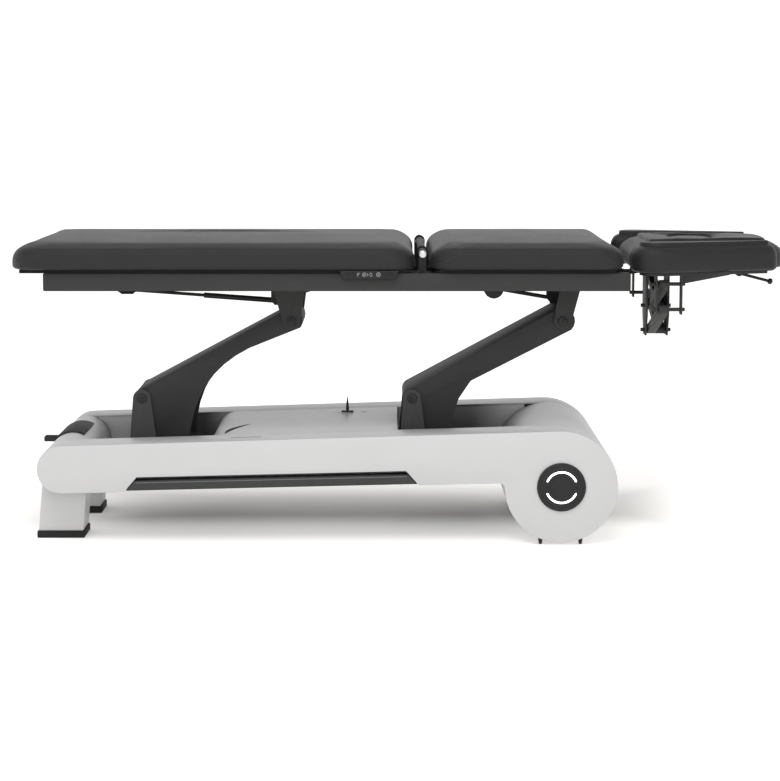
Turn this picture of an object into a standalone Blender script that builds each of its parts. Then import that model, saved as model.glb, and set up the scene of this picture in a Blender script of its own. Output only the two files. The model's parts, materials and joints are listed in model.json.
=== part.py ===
"""Electric massage table: a white base with a round foot end and a drum end, two parallel lift
arms, a steel top frame, and leg, back and head sections with two drop-down armrests.

Metres, +Z up, +X towards the head end, origin on the floor below the middle of the table.
"""
import math

import bmesh
import bpy
from mathutils import Matrix, Vector

# Fits
FIT = 0.0003
RUN = 0.0005
ROUND_STEPS = 16
END_STEPS = 40

# Base shell
BASE_WIDTH = 0.60
BEAM_WIDTH = 0.10
COVER_WALL = 0.004
COVER_EDGE = 0.003
FOOT_END_X = -0.900
FOOT_END_Z = 0.2005
FOOT_END_RADIUS = 0.063
DRUM_X = 0.408
DRUM_Z = 0.155
DRUM_RADIUS = 0.148
BELLY_SLOPE = math.radians(1.35)
NOTCH_RADIUS = 0.015
DECK_LEFT = -0.525
DECK_RIGHT = -0.019
DECK_WALL = 0.004
DECK_NOSE = 0.045
DECK_DEPTH = 0.075

# Chassis
CHASSIS_WIDTH = 0.040
CHASSIS_WALL = 0.004
AXLE_SIZE = 0.050
DRUM_FRAME_LENGTH = 0.125
DRUM_FRAME_BOTTOM = 0.150
DRUM_FRAME_HEIGHT = 0.040
PEG_SPREAD = 0.0525
PEG_INSET = 0.020
PEG_RADIUS = 0.006
PEG_TIP_RADIUS = 0.004
FOOT_BLOCK_OUTER = 0.207
FOOT_BLOCK_WIDTH = 0.097
FOOT_BLOCK_LENGTH = 0.118
FOOT_BLOCK_OFFSET = -0.017
FOOT_BLOCK_LEAN = 0.014
SOLE_HEIGHT = 0.019
SOLE_MARGIN = 0.004

# Trim on the base
HUB_RADIUS = 0.064
HUB_DEPTH = 0.006
LIGHT_RADIUS = 0.0406
LIGHT_WIDTH = 0.007
LIGHT_GAP = math.radians(21)
LIGHT_DEPTH = 0.002
PLATE_START = math.radians(62)
PLATE_END = math.radians(131)
PLATE_WIDTH = 0.176
PLATE_THICKNESS = 0.005
PEDAL_REACH = 0.067
PEDAL_WIDTH = 0.030
PEDAL_HEIGHT = 0.015
PEDAL_HEEL = 0.020
PEDAL_TRAVEL = 0.008
KICK_LEFT = -0.702
KICK_RIGHT = 0.002
KICK_SLOT_HEIGHT = 0.039
KICK_BAR_HEIGHT = 0.026
KICK_BAR_DEPTH = 0.034
KICK_END_SLANT = 0.034
KICK_SIDE_GAP = 0.002
KICK_STEM_RADIUS = 0.006
DECK_LEVER_X = -0.159
DECK_LEVER_Y = 0.120
DECK_LEVER_HEIGHT = 0.040
DECK_LEVER_THICKNESS = 0.004
DECK_LEVER_WIDTH = 0.010
DECK_LEVER_SLOT = 0.034

# Lift
LOWER_PIVOT_X = -0.710
PIVOT_SPACING = 0.730
LOWER_PIVOT_Z = 0.360
ARM_LENGTH = 0.456
ARM_ANGLE = math.radians(27.3)
ARM_WIDTH = 0.190
ARM_WALL = 0.007
SHAFT_RADIUS = 0.012
SHAFT_END = 0.004
EAR_THICKNESS = 0.010
EAR_RADIUS = 0.024
TOWER_PLATE = 0.008
TOWER_FLOOR_Z = 0.150
FOOT_WELL_LEFT = -0.800
FOOT_TOWER_RIGHT = -0.400
HEAD_WELL_RIGHT = 0.240
PIN_RADIUS = 0.005
CHEEK_THICKNESS = 0.006
LIFT_PIN = (-0.430, 0.205)
LIFT_CRANK = (0.075, -0.120)
LIFT_TUBE_RADIUS = 0.021
LIFT_TUBE_LENGTH = 0.330
LIFT_ROD_RADIUS = 0.011
LIFT_STROKE_IN = 0.075
TOWER_LEFT = 0.040
TOWER_RIGHT = 0.050

# Top frame
PIVOT_DROP = 0.100
RAIL_HEIGHT = 0.046
RAIL_WIDTH = 0.040
RAIL_INSET = 0.045
RAIL_END_INSET = 0.090
RAIL_OVERRUN = 0.001
RAIL_WALL = 0.003
BRACKET_PLATE = 0.008
FOOT_BRACKET_RIGHT = 0.040
HEAD_BRACKET_RIGHT = 0.056
GUSSET_REACH = 0.100
GUSSET_DEPTH = 0.030
BACK_PIN_WAY = 0.030
HINGE_X = 0.0445
HINGE_HEIGHT = 0.050
HINGE_RADIUS = 0.011
HINGE_POST = 0.012
PANEL_LEFT = -0.1715
PANEL_RIGHT = -0.0165
PANEL_TAPER = 0.012
PANEL_HEIGHT = 0.0235
PANEL_DEPTH = 0.016

# Cushions and boards
TABLE_WIDTH = 0.65
PAD_THICKNESS = 0.075
PAD_GAP = 0.034
LEG_LENGTH = 1.052
BACK_LENGTH = 0.508
HEAD_GAP = 0.018
HEAD_LENGTH = 0.437
HEAD_SETBACK = 0.010
HEAD_DROP = 0.010
PAD_CORNER = 0.068
PAD_TOP_ROUND = 0.045
PAD_TOP_REACH = 0.060
PAD_BOTTOM_ROUND = 0.012
PAD_CROWN = 0.006
PAD_CROWN_REACH = 0.110
PAD_SIDE_DRAW = 0.004
SEAM_HEIGHT = 0.018
SEAM_DRAW = 0.002
SEAM_WIDTH = 0.005
BOARD_THICKNESS = 0.0095
BOARD_INSET = 0.026
HEAD_SHARE = 0.30
HEAD_END_SHARE = 0.20
HEAD_END_CORNER = 0.080
HEAD_BOARD_CORNER = 0.045
ARMREST_GAP = 0.008
ARMREST_END_SIDE = 0.125
ARMREST_END_CORNER = 0.030
ARMREST_INNER_CORNER = 0.022
ARMREST_SHORTER = 0.040
ARMREST_ROUND = 0.020
PLUG_X = 0.7805
PLUG_LENGTH = 0.127
PLUG_SURROUND = 0.045
PLUG_CORNER = 0.060
PLUG_GAP = 0.0015
PLUG_LEDGE = 0.010

# Section drives
LEG_FRAME_PIN_OFFSET = (-0.0397, -0.054)
LEG_PIN_OFFSET = (-0.802, -0.0704)
LEG_LUG_INSET = 0.080
LEG_TUBE_RADIUS = 0.0075
LEG_TUBE_LENGTH = 0.205
LEG_ROD_RADIUS = 0.0045
BACK_FRAME_PIN_OFFSET = (0.051, 0.006)
BACK_PIN_OFFSET = (0.3605, -0.0934)
BACK_LUG_INSET = 0.060
HEAD_LUG_INSET = 0.045
BACK_TUBE_RADIUS = 0.014
BACK_TUBE_LENGTH = 0.150
BACK_ROD_RADIUS = 0.0055
MOTOR_OFFSET = 0.150
MOTOR_RADIUS = 0.027
MOTOR_WIDTH = 0.060
EYE_GAP = 0.002
HEAD_HINGE_HEIGHT = -0.0085

# Armrest linkage and lever below the head section
HANGER_X = 0.658
HANGER_LENGTH = 0.062
HANGER_WIDTH = 0.090
HANGER_PLATE = 0.004
HANGER_DEPTH = 0.184
LINK_DROP = 0.1034
LINK_SPACING = 0.067
LINK_SIDE = 0.090
LINK_RISE = 0.080
LINK_THICKNESS = 0.024
LINK_GAP = 0.0025
LINK_HALF_HEIGHT = 0.011
CARRIER_OVER = 0.004
CARRIER_PLATE = 0.004
CARRIER_DROP = 0.025
RELEASE_X = 0.900
RELEASE_Y = -0.080
RELEASE_LENGTH = 0.085
RELEASE_FALL = 0.022
RELEASE_RADIUS = 0.004
KNOB_RADIUS = 0.008

# Places worked out from the sizes above
HALF_BASE = BASE_WIDTH / 2
BEAM_INNER = HALF_BASE - BEAM_WIDTH
DECK_HALF = BEAM_INNER - 2 * FIT
PEDAL_PIVOT_X = FOOT_END_X - AXLE_SIZE / 2
PEDAL_BOTTOM = FOOT_END_Z + AXLE_SIZE / 2 + FIT
ARM_COS = math.cos(ARM_ANGLE)
ARM_SIN = math.sin(ARM_ANGLE)
HEAD_PIVOT_X = LOWER_PIVOT_X + PIVOT_SPACING
UPPER_PIVOT_X = LOWER_PIVOT_X + ARM_LENGTH * ARM_COS
UPPER_PIVOT_Z = LOWER_PIVOT_Z + ARM_LENGTH * ARM_SIN
RAIL_BOTTOM = UPPER_PIVOT_Z + PIVOT_DROP
RAIL_TOP = RAIL_BOTTOM + RAIL_HEIGHT
RAIL_SPREAD = TABLE_WIDTH / 2 - RAIL_INSET
RAIL_INNER = RAIL_SPREAD - RAIL_WIDTH / 2
RAIL_OUTER = RAIL_SPREAD + RAIL_WIDTH / 2
BOARD_BOTTOM = RAIL_TOP + FIT
PAD_BOTTOM = BOARD_BOTTOM + BOARD_THICKNESS + FIT
HINGE_Z = RAIL_TOP + HINGE_HEIGHT
EAR_INNER = ARM_WIDTH / 2 + 2 * RUN
EAR_OUTER = EAR_INNER + EAR_THICKNESS
LEG_RIGHT = HINGE_X - PAD_GAP / 2
LEG_LEFT = LEG_RIGHT - LEG_LENGTH
BACK_LEFT = HINGE_X + PAD_GAP / 2
BACK_RIGHT = BACK_LEFT + BACK_LENGTH
HEAD_HINGE_X = BACK_RIGHT + HEAD_GAP / 2
RAIL_LEFT = LEG_LEFT + RAIL_END_INSET
RAIL_RIGHT = HEAD_HINGE_X + RAIL_OVERRUN
HEAD_HINGE_Z = RAIL_TOP + HEAD_HINGE_HEIGHT
HEAD_PAD_BOTTOM = PAD_BOTTOM - HEAD_DROP
HEAD_BOARD_TOP = HEAD_PAD_BOTTOM - FIT
HEAD_BOARD_BOTTOM = HEAD_BOARD_TOP - BOARD_THICKNESS
ARMREST_LEFT = BACK_RIGHT + HEAD_GAP
HEAD_LEFT = ARMREST_LEFT + HEAD_SETBACK
HEAD_RIGHT = ARMREST_LEFT + HEAD_LENGTH
HEAD_HALF_WIDTH = TABLE_WIDTH * HEAD_SHARE
HEAD_END_HALF_WIDTH = TABLE_WIDTH * HEAD_END_SHARE
PLUG_WIDTH = 2 * (HEAD_END_HALF_WIDTH - PLUG_SURROUND)
LEG_LUG_Y = RAIL_SPREAD - LEG_LUG_INSET
BACK_LUG_Y = RAIL_SPREAD - BACK_LUG_INSET
HEAD_LUG_Y = HEAD_HALF_WIDTH - HEAD_LUG_INSET
ARMREST_END_HALF_WIDTH = TABLE_WIDTH / 2 - ARMREST_END_SIDE
LEG_FRAME_PIN = (UPPER_PIVOT_X + LEG_FRAME_PIN_OFFSET[0], RAIL_BOTTOM + LEG_FRAME_PIN_OFFSET[1])
LEG_PIN = (HINGE_X + LEG_PIN_OFFSET[0], BOARD_BOTTOM + LEG_PIN_OFFSET[1])
BACK_FRAME_PIN = (HINGE_X + BACK_FRAME_PIN_OFFSET[0], RAIL_BOTTOM + BACK_FRAME_PIN_OFFSET[1])
BACK_PIN = (HINGE_X + BACK_PIN_OFFSET[0], BOARD_BOTTOM + BACK_PIN_OFFSET[1])
LINK_UPPER_Z = HEAD_BOARD_BOTTOM - LINK_DROP
LINK_LOWER_Z = LINK_UPPER_Z - LINK_SPACING
LINK_REACH = TABLE_WIDTH / 2 - LINK_SIDE
NEAR_LINK_X = HANGER_X + HANGER_PLATE + LINK_GAP
FAR_LINK_X = HANGER_X + HANGER_LENGTH - HANGER_PLATE - LINK_GAP - LINK_THICKNESS
CARRIER_X = HANGER_X - CARRIER_OVER
CARRIER_LENGTH = HANGER_LENGTH + 2 * CARRIER_OVER
ARMREST_CORNERS = [PAD_CORNER, ARMREST_END_CORNER, ARMREST_INNER_CORNER, ARMREST_INNER_CORNER]


def running_bore(radius):
    """Bore that a faceted shaft of this radius turns in, with its flats clear of the corners."""
    return (radius + RUN) / math.cos(math.pi / ROUND_STEPS)


def clear_scene():
    for item in list(bpy.data.objects):
        bpy.data.objects.remove(item, do_unlink=True)


MATERIALS = {}


def finish(name, colour, roughness, metallic=0.0):
    """One Principled material per finish, shared by the pieces that have it."""
    if name not in MATERIALS:
        made = bpy.data.materials.new(name)
        made.use_nodes = True
        shader = made.node_tree.nodes["Principled BSDF"]
        shader.inputs["Base Color"].default_value = (*colour, 1.0)
        shader.inputs["Roughness"].default_value = roughness
        shader.inputs["Metallic"].default_value = metallic
        MATERIALS[name] = made
    return MATERIALS[name]


def white_cover():
    return finish("white_cover", (0.72, 0.72, 0.73), 0.35)


def dark_steel():
    return finish("dark_steel", (0.048, 0.048, 0.047), 0.45, 0.3)


def black_plastic():
    return finish("black_plastic", (0.02, 0.02, 0.02), 0.5)


def rubber():
    return finish("rubber", (0.012, 0.012, 0.012), 0.8)


def leather():
    return finish("leather", (0.045, 0.045, 0.047), 0.45)


def bright_steel():
    return finish("bright_steel", (0.55, 0.55, 0.56), 0.25, 1.0)


def place(name, bm, material, pivot=(0, 0, 0)):
    """Turns a world-space bmesh into a named object whose origin is the pivot."""
    bmesh.ops.recalc_face_normals(bm, faces=bm.faces)
    mesh = bpy.data.meshes.new(name)
    bmesh.ops.translate(bm, verts=bm.verts, vec=-Vector(pivot))
    bm.to_mesh(mesh)
    bm.free()
    mesh.materials.append(material)
    mesh.shade_smooth()
    mesh.set_sharp_from_angle(angle=math.radians(35))
    item = bpy.data.objects.new(name, mesh)
    item.location = pivot
    bpy.context.collection.objects.link(item)
    return item


def arc(centre, radius, start, end, steps):
    """Points on an arc, both ends included, angles in radians."""
    turn = [start + (end - start) * k / steps for k in range(steps + 1)]
    return [(centre[0] + radius * math.cos(a), centre[1] + radius * math.sin(a)) for a in turn]


def lift_point(plane, point, depth):
    """A flat outline point and a depth, as a point in space."""
    first, second = point
    if plane == "XZ":
        return (first, depth, second)
    if plane == "YZ":
        return (depth, first, second)
    return (first, second, depth)


def loft(rings):
    """Closed body through rings of equally many points, with flat ends."""
    bm = bmesh.new()
    levels = [[bm.verts.new(point) for point in ring] for ring in rings]
    for lower, upper in zip(levels, levels[1:]):
        for k in range(len(lower)):
            after = (k + 1) % len(lower)
            bm.faces.new((lower[k], lower[after], upper[after], upper[k]))
    bm.faces.new(list(reversed(levels[0])))
    bm.faces.new(levels[-1])
    bmesh.ops.recalc_face_normals(bm, faces=bm.faces)
    return bm


def prism(outline, low, high, plane="XZ"):
    """Flat outline pulled straight between two depths."""
    return loft([[lift_point(plane, p, depth) for p in outline] for depth in (low, high)])


def block(x, y, z):
    """Box from three (low, high) pairs."""
    corners = [(x[0], y[0]), (x[1], y[0]), (x[1], y[1]), (x[0], y[1])]
    return prism(corners, z[0], z[1], "XY")


def turned(profile, start, direction, steps=ROUND_STEPS):
    """Solid of revolution: profile of (radius, distance) along a direction from start."""
    frame = Vector(direction).to_track_quat("Z", "Y").to_matrix().to_4x4()
    frame = Matrix.Translation(start) @ frame
    bm = bmesh.new()
    rings = []
    for radius, distance in profile:
        if radius == 0:
            rings.append([bm.verts.new(frame @ Vector((0, 0, distance)))])
            continue
        turns = [2 * math.pi * k / steps for k in range(steps)]
        spots = [(radius * math.cos(a), radius * math.sin(a), distance) for a in turns]
        rings.append([bm.verts.new(frame @ Vector(spot)) for spot in spots])
    for here, there in zip(rings, rings[1:] + rings[:1]):
        if len(here) == 1 and len(there) == 1:
            continue
        for k in range(steps):
            after = (k + 1) % steps
            ring = [here[k % len(here)], here[after % len(here)]]
            ring += [there[after % len(there)], there[k % len(there)]]
            bm.faces.new(list(dict.fromkeys(ring)))
    bmesh.ops.recalc_face_normals(bm, faces=bm.faces)
    return bm


def rod(start, end, radius, steps=ROUND_STEPS):
    """Plain round bar between two points."""
    run = Vector(end) - Vector(start)
    return turned([(0, 0), (radius, 0), (radius, run.length), (0, run.length)], start, run, steps)


def cross_rod(x, z, y, radius):
    """Round bar across the table from y[0] to y[1]."""
    return rod((x, y[0], z), (x, y[1], z), radius)


def boolean(body, tool, operation):
    """Body with a tool added or taken away. Both bmeshes are used up."""
    pair = []
    for bm in (body, tool):
        bmesh.ops.recalc_face_normals(bm, faces=bm.faces)
        mesh = bpy.data.meshes.new("step")
        bm.to_mesh(mesh)
        bm.free()
        item = bpy.data.objects.new("step", mesh)
        bpy.context.collection.objects.link(item)
        pair.append(item)
    step = pair[0].modifiers.new("step", "BOOLEAN")
    step.operation = operation
    step.solver = "EXACT"
    step.object = pair[1]
    graph = bpy.context.evaluated_depsgraph_get()
    result = bmesh.new()
    result.from_mesh(pair[0].evaluated_get(graph).to_mesh())
    for item in pair:
        mesh = item.data
        bpy.data.objects.remove(item, do_unlink=True)
        bpy.data.meshes.remove(mesh)
    bmesh.ops.dissolve_degenerate(result, dist=1e-6, edges=result.edges)
    return result


def join(body, *tools):
    for tool in tools:
        body = boolean(body, tool, "UNION")
    return body


def cut(body, *tools):
    for tool in tools:
        body = boolean(body, tool, "DIFFERENCE")
    return body


def soften(bm, width, low_y=None):
    """Rounds the sharp edges, or only those in the plane y = low_y."""
    edges = [e for e in bm.edges if len(e.link_faces) == 2 and e.calc_face_angle() > math.radians(50)]
    if low_y is not None:
        edges = [e for e in edges if all(abs(v.co.y - low_y) < FIT for v in e.verts)]
    bmesh.ops.bevel(bm, geom=edges, offset=width, segments=2, profile=0.5, affect="EDGES",
                    clamp_overlap=True)
    return bm


def rounded_outline(corners, radii, inset=0.0, corner_steps=5, side_steps=1, draw=0.0):
    """Convex anticlockwise outline with rounded corners, moved inwards by the inset.

    Each side bends inwards by draw at its middle, as a sewn cover pulls its filling.
    """
    count = len(corners)
    spots = [Vector(c) for c in corners]
    ways = [(spots[(k + 1) % count] - spots[k]).normalized() for k in range(count)]
    inwards = [Vector((-w.y, w.x)) for w in ways]
    arcs = []
    for k in range(count):
        before, after = ways[k - 1], ways[k]
        turn = before.angle(after)
        shift = inset / math.cos(turn / 2)
        corner = spots[k] + (inwards[k - 1] + inwards[k]).normalized() * shift
        radius = max(radii[k] - inset, 2 * FIT)
        centre = corner - before * radius * math.tan(turn / 2) + inwards[k - 1] * radius
        start = math.atan2(-inwards[k - 1].y, -inwards[k - 1].x)
        arcs.append(arc(centre, radius, start, start + turn, corner_steps))
    ring = []
    for k in range(count):
        ring += arcs[k]
        here = Vector(arcs[k][-1])
        there = Vector(arcs[(k + 1) % count][0])
        for step in range(1, side_steps):
            share = step / side_steps
            spot = here.lerp(there, share) + inwards[k] * draw * 4 * share * (1 - share)
            ring.append((spot.x, spot.y))
    return ring


def cushion(corners, radii, bottom, thickness, crown=PAD_CROWN, reach=PAD_CROWN_REACH,
            top_reach=PAD_TOP_REACH):
    """Upholstered pad: rounded lower edge, a seam drawn in round the side, a wide rolled upper edge
    and a crowned top."""
    levels = []
    quarter = math.pi / 2
    for k in range(4):
        turn = quarter * k / 3
        inset = PAD_BOTTOM_ROUND * (1 - math.sin(turn))
        levels.append((inset, PAD_BOTTOM_ROUND * (1 - math.cos(turn))))
    levels += [(0, SEAM_HEIGHT - SEAM_WIDTH), (SEAM_DRAW, SEAM_HEIGHT), (0, SEAM_HEIGHT + SEAM_WIDTH)]
    shoulder = thickness - crown - PAD_TOP_ROUND
    for k in range(5):
        turn = quarter * k / 4.4
        inset = top_reach * (1 - math.cos(turn))
        levels.append((inset, shoulder + PAD_TOP_ROUND * math.sin(turn)))
    edge_inset, edge_height = levels[-1]
    for k in range(1, 4):
        share = k / 3
        rise = (thickness - edge_height) * (1 - (1 - share) ** 2)
        levels.append((edge_inset + (reach - edge_inset) * share, edge_height + rise))
    rings = []
    for inset, height in levels:
        draw = PAD_SIDE_DRAW * max(0.0, 1 - inset / top_reach)
        ring = rounded_outline(corners, radii, inset, 5, 6, draw)
        rings.append([(x, y, bottom + height) for x, y in ring])
    return loft(rings)


def box_tube(left, right, y, wall):
    """Rectangular tube along X, open at both ends. left and right are (x, bottom, top)."""
    bm = bmesh.new()

    def ring(end, inset):
        x, low, high = end
        spots = [(y[0] + inset, low + inset), (y[1] - inset, low + inset)]
        spots += [(y[1] - inset, high - inset), (y[0] + inset, high - inset)]
        return [bm.verts.new((x, *spot)) for spot in spots]

    rings = [ring(left, 0), ring(right, 0), ring(right, wall), ring(left, wall)]
    for here, there in zip(rings, rings[1:] + rings[:1]):
        for k in range(4):
            after = (k + 1) % 4
            bm.faces.new((here[k], here[after], there[after], there[k]))
    bmesh.ops.recalc_face_normals(bm, faces=bm.faces)
    return bm


def mirrored(bm):
    """The same shape on the other side of the table."""
    bmesh.ops.scale(bm, vec=(1, -1, 1), verts=bm.verts)
    bmesh.ops.reverse_faces(bm, faces=bm.faces)
    return bm


def both_sides(stem, make, material, pivot=None):
    """Near and far copies of a piece, near being the -Y side."""
    for side, sign in (("near", 1), ("far", -1)):
        bm = make()
        spot = pivot or (0, 0, 0)
        if sign < 0:
            bm = mirrored(bm)
            spot = (spot[0], -spot[1], spot[2])
        place(f"{stem}_{side}", bm, material, spot)


def top_line(x, inset=0.0):
    """Height of the base's sloping top edge, less an inset."""
    reach = Vector((DRUM_X - FOOT_END_X, DRUM_Z - FOOT_END_Z))
    slant = math.acos((FOOT_END_RADIUS - DRUM_RADIUS) / reach.length)
    normal = math.atan2(reach.y, reach.x) + slant
    rise = (x - FOOT_END_X) * math.cos(normal)
    return FOOT_END_Z + (FOOT_END_RADIUS - inset - rise) / math.sin(normal)


def belly_line(x, inset=0.0):
    """Height of the base's lower edge, plus an inset."""
    radius = FOOT_END_RADIUS - inset
    return FOOT_END_Z + math.tan(BELLY_SLOPE) * (x - FOOT_END_X) - radius / math.cos(BELLY_SLOPE)


def base_outline(inset=0.0):
    """Side view of the base: foot end circle, belly edge, fillet, drum circle and top edge."""
    foot = Vector((FOOT_END_X, FOOT_END_Z))
    drum = Vector((DRUM_X, DRUM_Z))
    small = FOOT_END_RADIUS - inset
    large = DRUM_RADIUS - inset
    notch = NOTCH_RADIUS + inset
    reach = drum - foot
    normal = math.atan2(reach.y, reach.x) + math.acos((small - large) / reach.length)
    along = Vector((math.cos(BELLY_SLOPE), math.sin(BELLY_SLOPE)))
    down = Vector((along.y, -along.x))
    start = foot + down * small
    offset = start + down * notch - drum
    dot = offset.dot(along)
    run = -dot - math.sqrt(dot * dot - offset.length_squared + (large + notch) ** 2)
    centre = start + down * notch + along * run
    to_drum = drum - centre
    touch = math.atan2(to_drum.y, to_drum.x)
    belly = math.atan2(down.y, down.x)
    points = arc(foot, small, normal, belly + 2 * math.pi, 16)
    points += arc(centre, notch, belly + math.pi, touch, 4)
    points += arc(drum, large, touch - math.pi, normal, 36)[1:]
    return points


def kick_outline(low, high, side_gap):
    """Slanted-end bar shape between two heights above the belly edge."""
    left = KICK_LEFT + side_gap
    right = KICK_RIGHT - side_gap
    slant = KICK_END_SLANT / KICK_SLOT_HEIGHT

    def spot(x, height, sign):
        reach = x + sign * slant * (KICK_SLOT_HEIGHT - height)
        return (reach, belly_line(reach) + height)

    corners = [spot(left, low, -1), spot(right, low, 1), spot(right, high, 1), spot(left, high, -1)]
    return corners


def peg_spots():
    return [(DRUM_X + side * PEG_SPREAD, y) for side in (-1, 1) for y in (-1, 1)]


def side_cover():
    """Moulded pan, open on its inner side, with the kick bar's slot and holes for the leg pegs."""
    shell = prism(base_outline(), -HALF_BASE, -BEAM_INNER)
    soften(shell, COVER_EDGE, -HALF_BASE)
    pocket = prism(base_outline(COVER_WALL), -HALF_BASE + COVER_WALL, -BEAM_INNER + COVER_WALL)
    slot = prism(kick_outline(-0.020, KICK_SLOT_HEIGHT, 0), -HALF_BASE - COVER_WALL,
                 -HALF_BASE + KICK_BAR_DEPTH + COVER_WALL)
    holes = []
    for side in (-1, 1):
        x = DRUM_X + side * PEG_SPREAD
        y = -HALF_BASE + PEG_INSET
        holes.append(rod((x, y, -COVER_WALL), (x, y, DRUM_Z / 2), PEG_RADIUS + 4 * RUN, 12))
    return cut(shell, pocket, slot, *holes)


def end_tube(centre, radius, steps):
    """Round cover across the base, open at both ends."""
    inner = radius - COVER_WALL
    profile = [(radius, 0), (radius, 2 * DECK_HALF), (inner, 2 * DECK_HALF), (inner, 0)]
    return turned(profile, (centre[0], -DECK_HALF, centre[1]), (0, 1, 0), steps)


def build_covers():
    both_sides("side_cover", side_cover, white_cover())
    foot = end_tube((FOOT_END_X, FOOT_END_Z), FOOT_END_RADIUS, END_STEPS)
    slot = block((FOOT_END_X - 2 * FOOT_END_RADIUS, PEDAL_PIVOT_X),
                 (-PEDAL_WIDTH / 2 - 4 * RUN, PEDAL_WIDTH / 2 + 4 * RUN),
                 (PEDAL_BOTTOM - PEDAL_TRAVEL, PEDAL_BOTTOM + PEDAL_HEIGHT + 4 * RUN))
    place("foot_end_cover", cut(foot, slot), white_cover())
    place("drum_cover", end_tube((DRUM_X, DRUM_Z), DRUM_RADIUS, 64), white_cover())
    place("deck_cover", deck_cover(), white_cover())


def deck_section(inset):
    """Deck profile along the table: a bull nose, the sloping top and a square end."""
    left = DECK_LEFT + inset
    right = DECK_RIGHT - inset
    low = top_line(DECK_LEFT) - DECK_DEPTH
    nose = DECK_NOSE - inset
    centre = (DECK_LEFT + DECK_NOSE, top_line(DECK_LEFT + DECK_NOSE) - DECK_NOSE)
    points = [(left, low)] + arc(centre, nose, math.pi, math.pi / 2, 6)
    return points + [(right, top_line(right, inset)), (right, low)]


def deck_cover():
    outer = deck_section(0)
    inner = deck_section(DECK_WALL)
    shell = prism(outer + list(reversed(inner)), -DECK_HALF, DECK_HALF)
    half = LIFT_TUBE_RADIUS + EYE_GAP
    way = block((DECK_RIGHT - 2 * DECK_WALL, DECK_RIGHT + DECK_WALL), (-half, half),
                (TOWER_FLOOR_Z, top_line(DECK_RIGHT) - 3 * DECK_WALL))
    return cut(shell, way)


def build_deck_lever():
    z = top_line(DECK_LEVER_X)
    half = DECK_LEVER_WIDTH / 2
    blade = block((DECK_LEVER_X - DECK_LEVER_THICKNESS / 2, DECK_LEVER_X + DECK_LEVER_THICKNESS / 2),
                  (DECK_LEVER_Y - half, DECK_LEVER_Y + half), (z + 2 * FIT, z + DECK_LEVER_HEIGHT))
    foot = block((DECK_LEVER_X - DECK_LEVER_SLOT / 2, DECK_LEVER_X + DECK_LEVER_SLOT / 2),
                 (DECK_LEVER_Y - 2 * half, DECK_LEVER_Y + 2 * half), (z + 3 * FIT, z + DECK_LEVER_THICKNESS))
    drop = top_line(DECK_LEVER_X - DECK_LEVER_SLOT / 2) - top_line(DECK_LEVER_X + DECK_LEVER_SLOT / 2)
    bmesh.ops.translate(foot, verts=foot.verts, vec=(0, 0, -drop))
    bmesh.ops.translate(blade, verts=blade.verts, vec=(0, 0, -drop + DECK_LEVER_THICKNESS))
    place("deck_lever_base", foot, black_plastic())
    place("deck_lever", blade, dark_steel(),
          (DECK_LEVER_X, DECK_LEVER_Y, z - drop + DECK_LEVER_THICKNESS))


def chassis_rail():
    left = FOOT_END_X + AXLE_SIZE / 2 + FIT
    right = DRUM_X - DRUM_FRAME_LENGTH / 2 - FIT
    ends = []
    for x in (left, right):
        low = belly_line(x, COVER_WALL + 2 * FIT)
        high = top_line(x, COVER_WALL + 2 * FIT)
        ends.append((x, low, high))
    y = (-BEAM_INNER - CHASSIS_WIDTH, -BEAM_INNER - FIT)
    return box_tube(*ends, y, CHASSIS_WALL)


def drum_end_frame():
    """Cross box in the drum with four tapered pegs that stand on the floor."""
    y = HALF_BASE - COVER_WALL - FIT
    x = (DRUM_X - DRUM_FRAME_LENGTH / 2, DRUM_X + DRUM_FRAME_LENGTH / 2)
    top = DRUM_FRAME_BOTTOM + DRUM_FRAME_HEIGHT
    frame = block(x, (-y, y), (DRUM_FRAME_BOTTOM, top))
    reach = DRUM_FRAME_BOTTOM + DRUM_FRAME_HEIGHT / 2
    profile = [(0, 0), (PEG_TIP_RADIUS, 0), (PEG_RADIUS, 2 * PEG_RADIUS), (PEG_RADIUS, reach), (0, reach)]
    for px, side in peg_spots():
        spot = (px, side * (HALF_BASE - PEG_INSET), 0)
        frame = join(frame, turned(profile, spot, (0, 0, 1), 12))
    return frame


def foot_block():
    """Leaning block below the foot end, cut to sit against the round cover."""
    left = FOOT_END_X + FOOT_BLOCK_OFFSET - FOOT_BLOCK_LENGTH / 2
    right = left + FOOT_BLOCK_LENGTH
    top = FOOT_END_Z - FOOT_END_RADIUS / 3
    low = SOLE_HEIGHT + FIT
    outline = [(left, low), (right, low), (right + FOOT_BLOCK_LEAN, top), (left + FOOT_BLOCK_LEAN, top)]
    body = prism(outline, -FOOT_BLOCK_OUTER, -FOOT_BLOCK_OUTER + FOOT_BLOCK_WIDTH)
    radius = (FOOT_END_RADIUS + 2 * FIT) / math.cos(math.pi / END_STEPS)
    round_end = rod((FOOT_END_X, -HALF_BASE, FOOT_END_Z), (FOOT_END_X, 0, FOOT_END_Z), radius, END_STEPS)
    body = cut(body, round_end)
    belly = [(FOOT_END_X, belly_line(FOOT_END_X) - 2 * FIT), (0, belly_line(0) - 2 * FIT), (0, top + FIT),
             (FOOT_END_X, top + FIT)]
    return cut(body, prism(belly, -HALF_BASE, 0))


def foot_sole():
    left = FOOT_END_X + FOOT_BLOCK_OFFSET - FOOT_BLOCK_LENGTH / 2 - SOLE_MARGIN
    x = (left, left + FOOT_BLOCK_LENGTH + 2 * SOLE_MARGIN)
    y = (-FOOT_BLOCK_OUTER - SOLE_MARGIN, -FOOT_BLOCK_OUTER + FOOT_BLOCK_WIDTH + SOLE_MARGIN)
    return soften(block(x, y, (0, SOLE_HEIGHT)), SOLE_MARGIN / 2)


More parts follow.
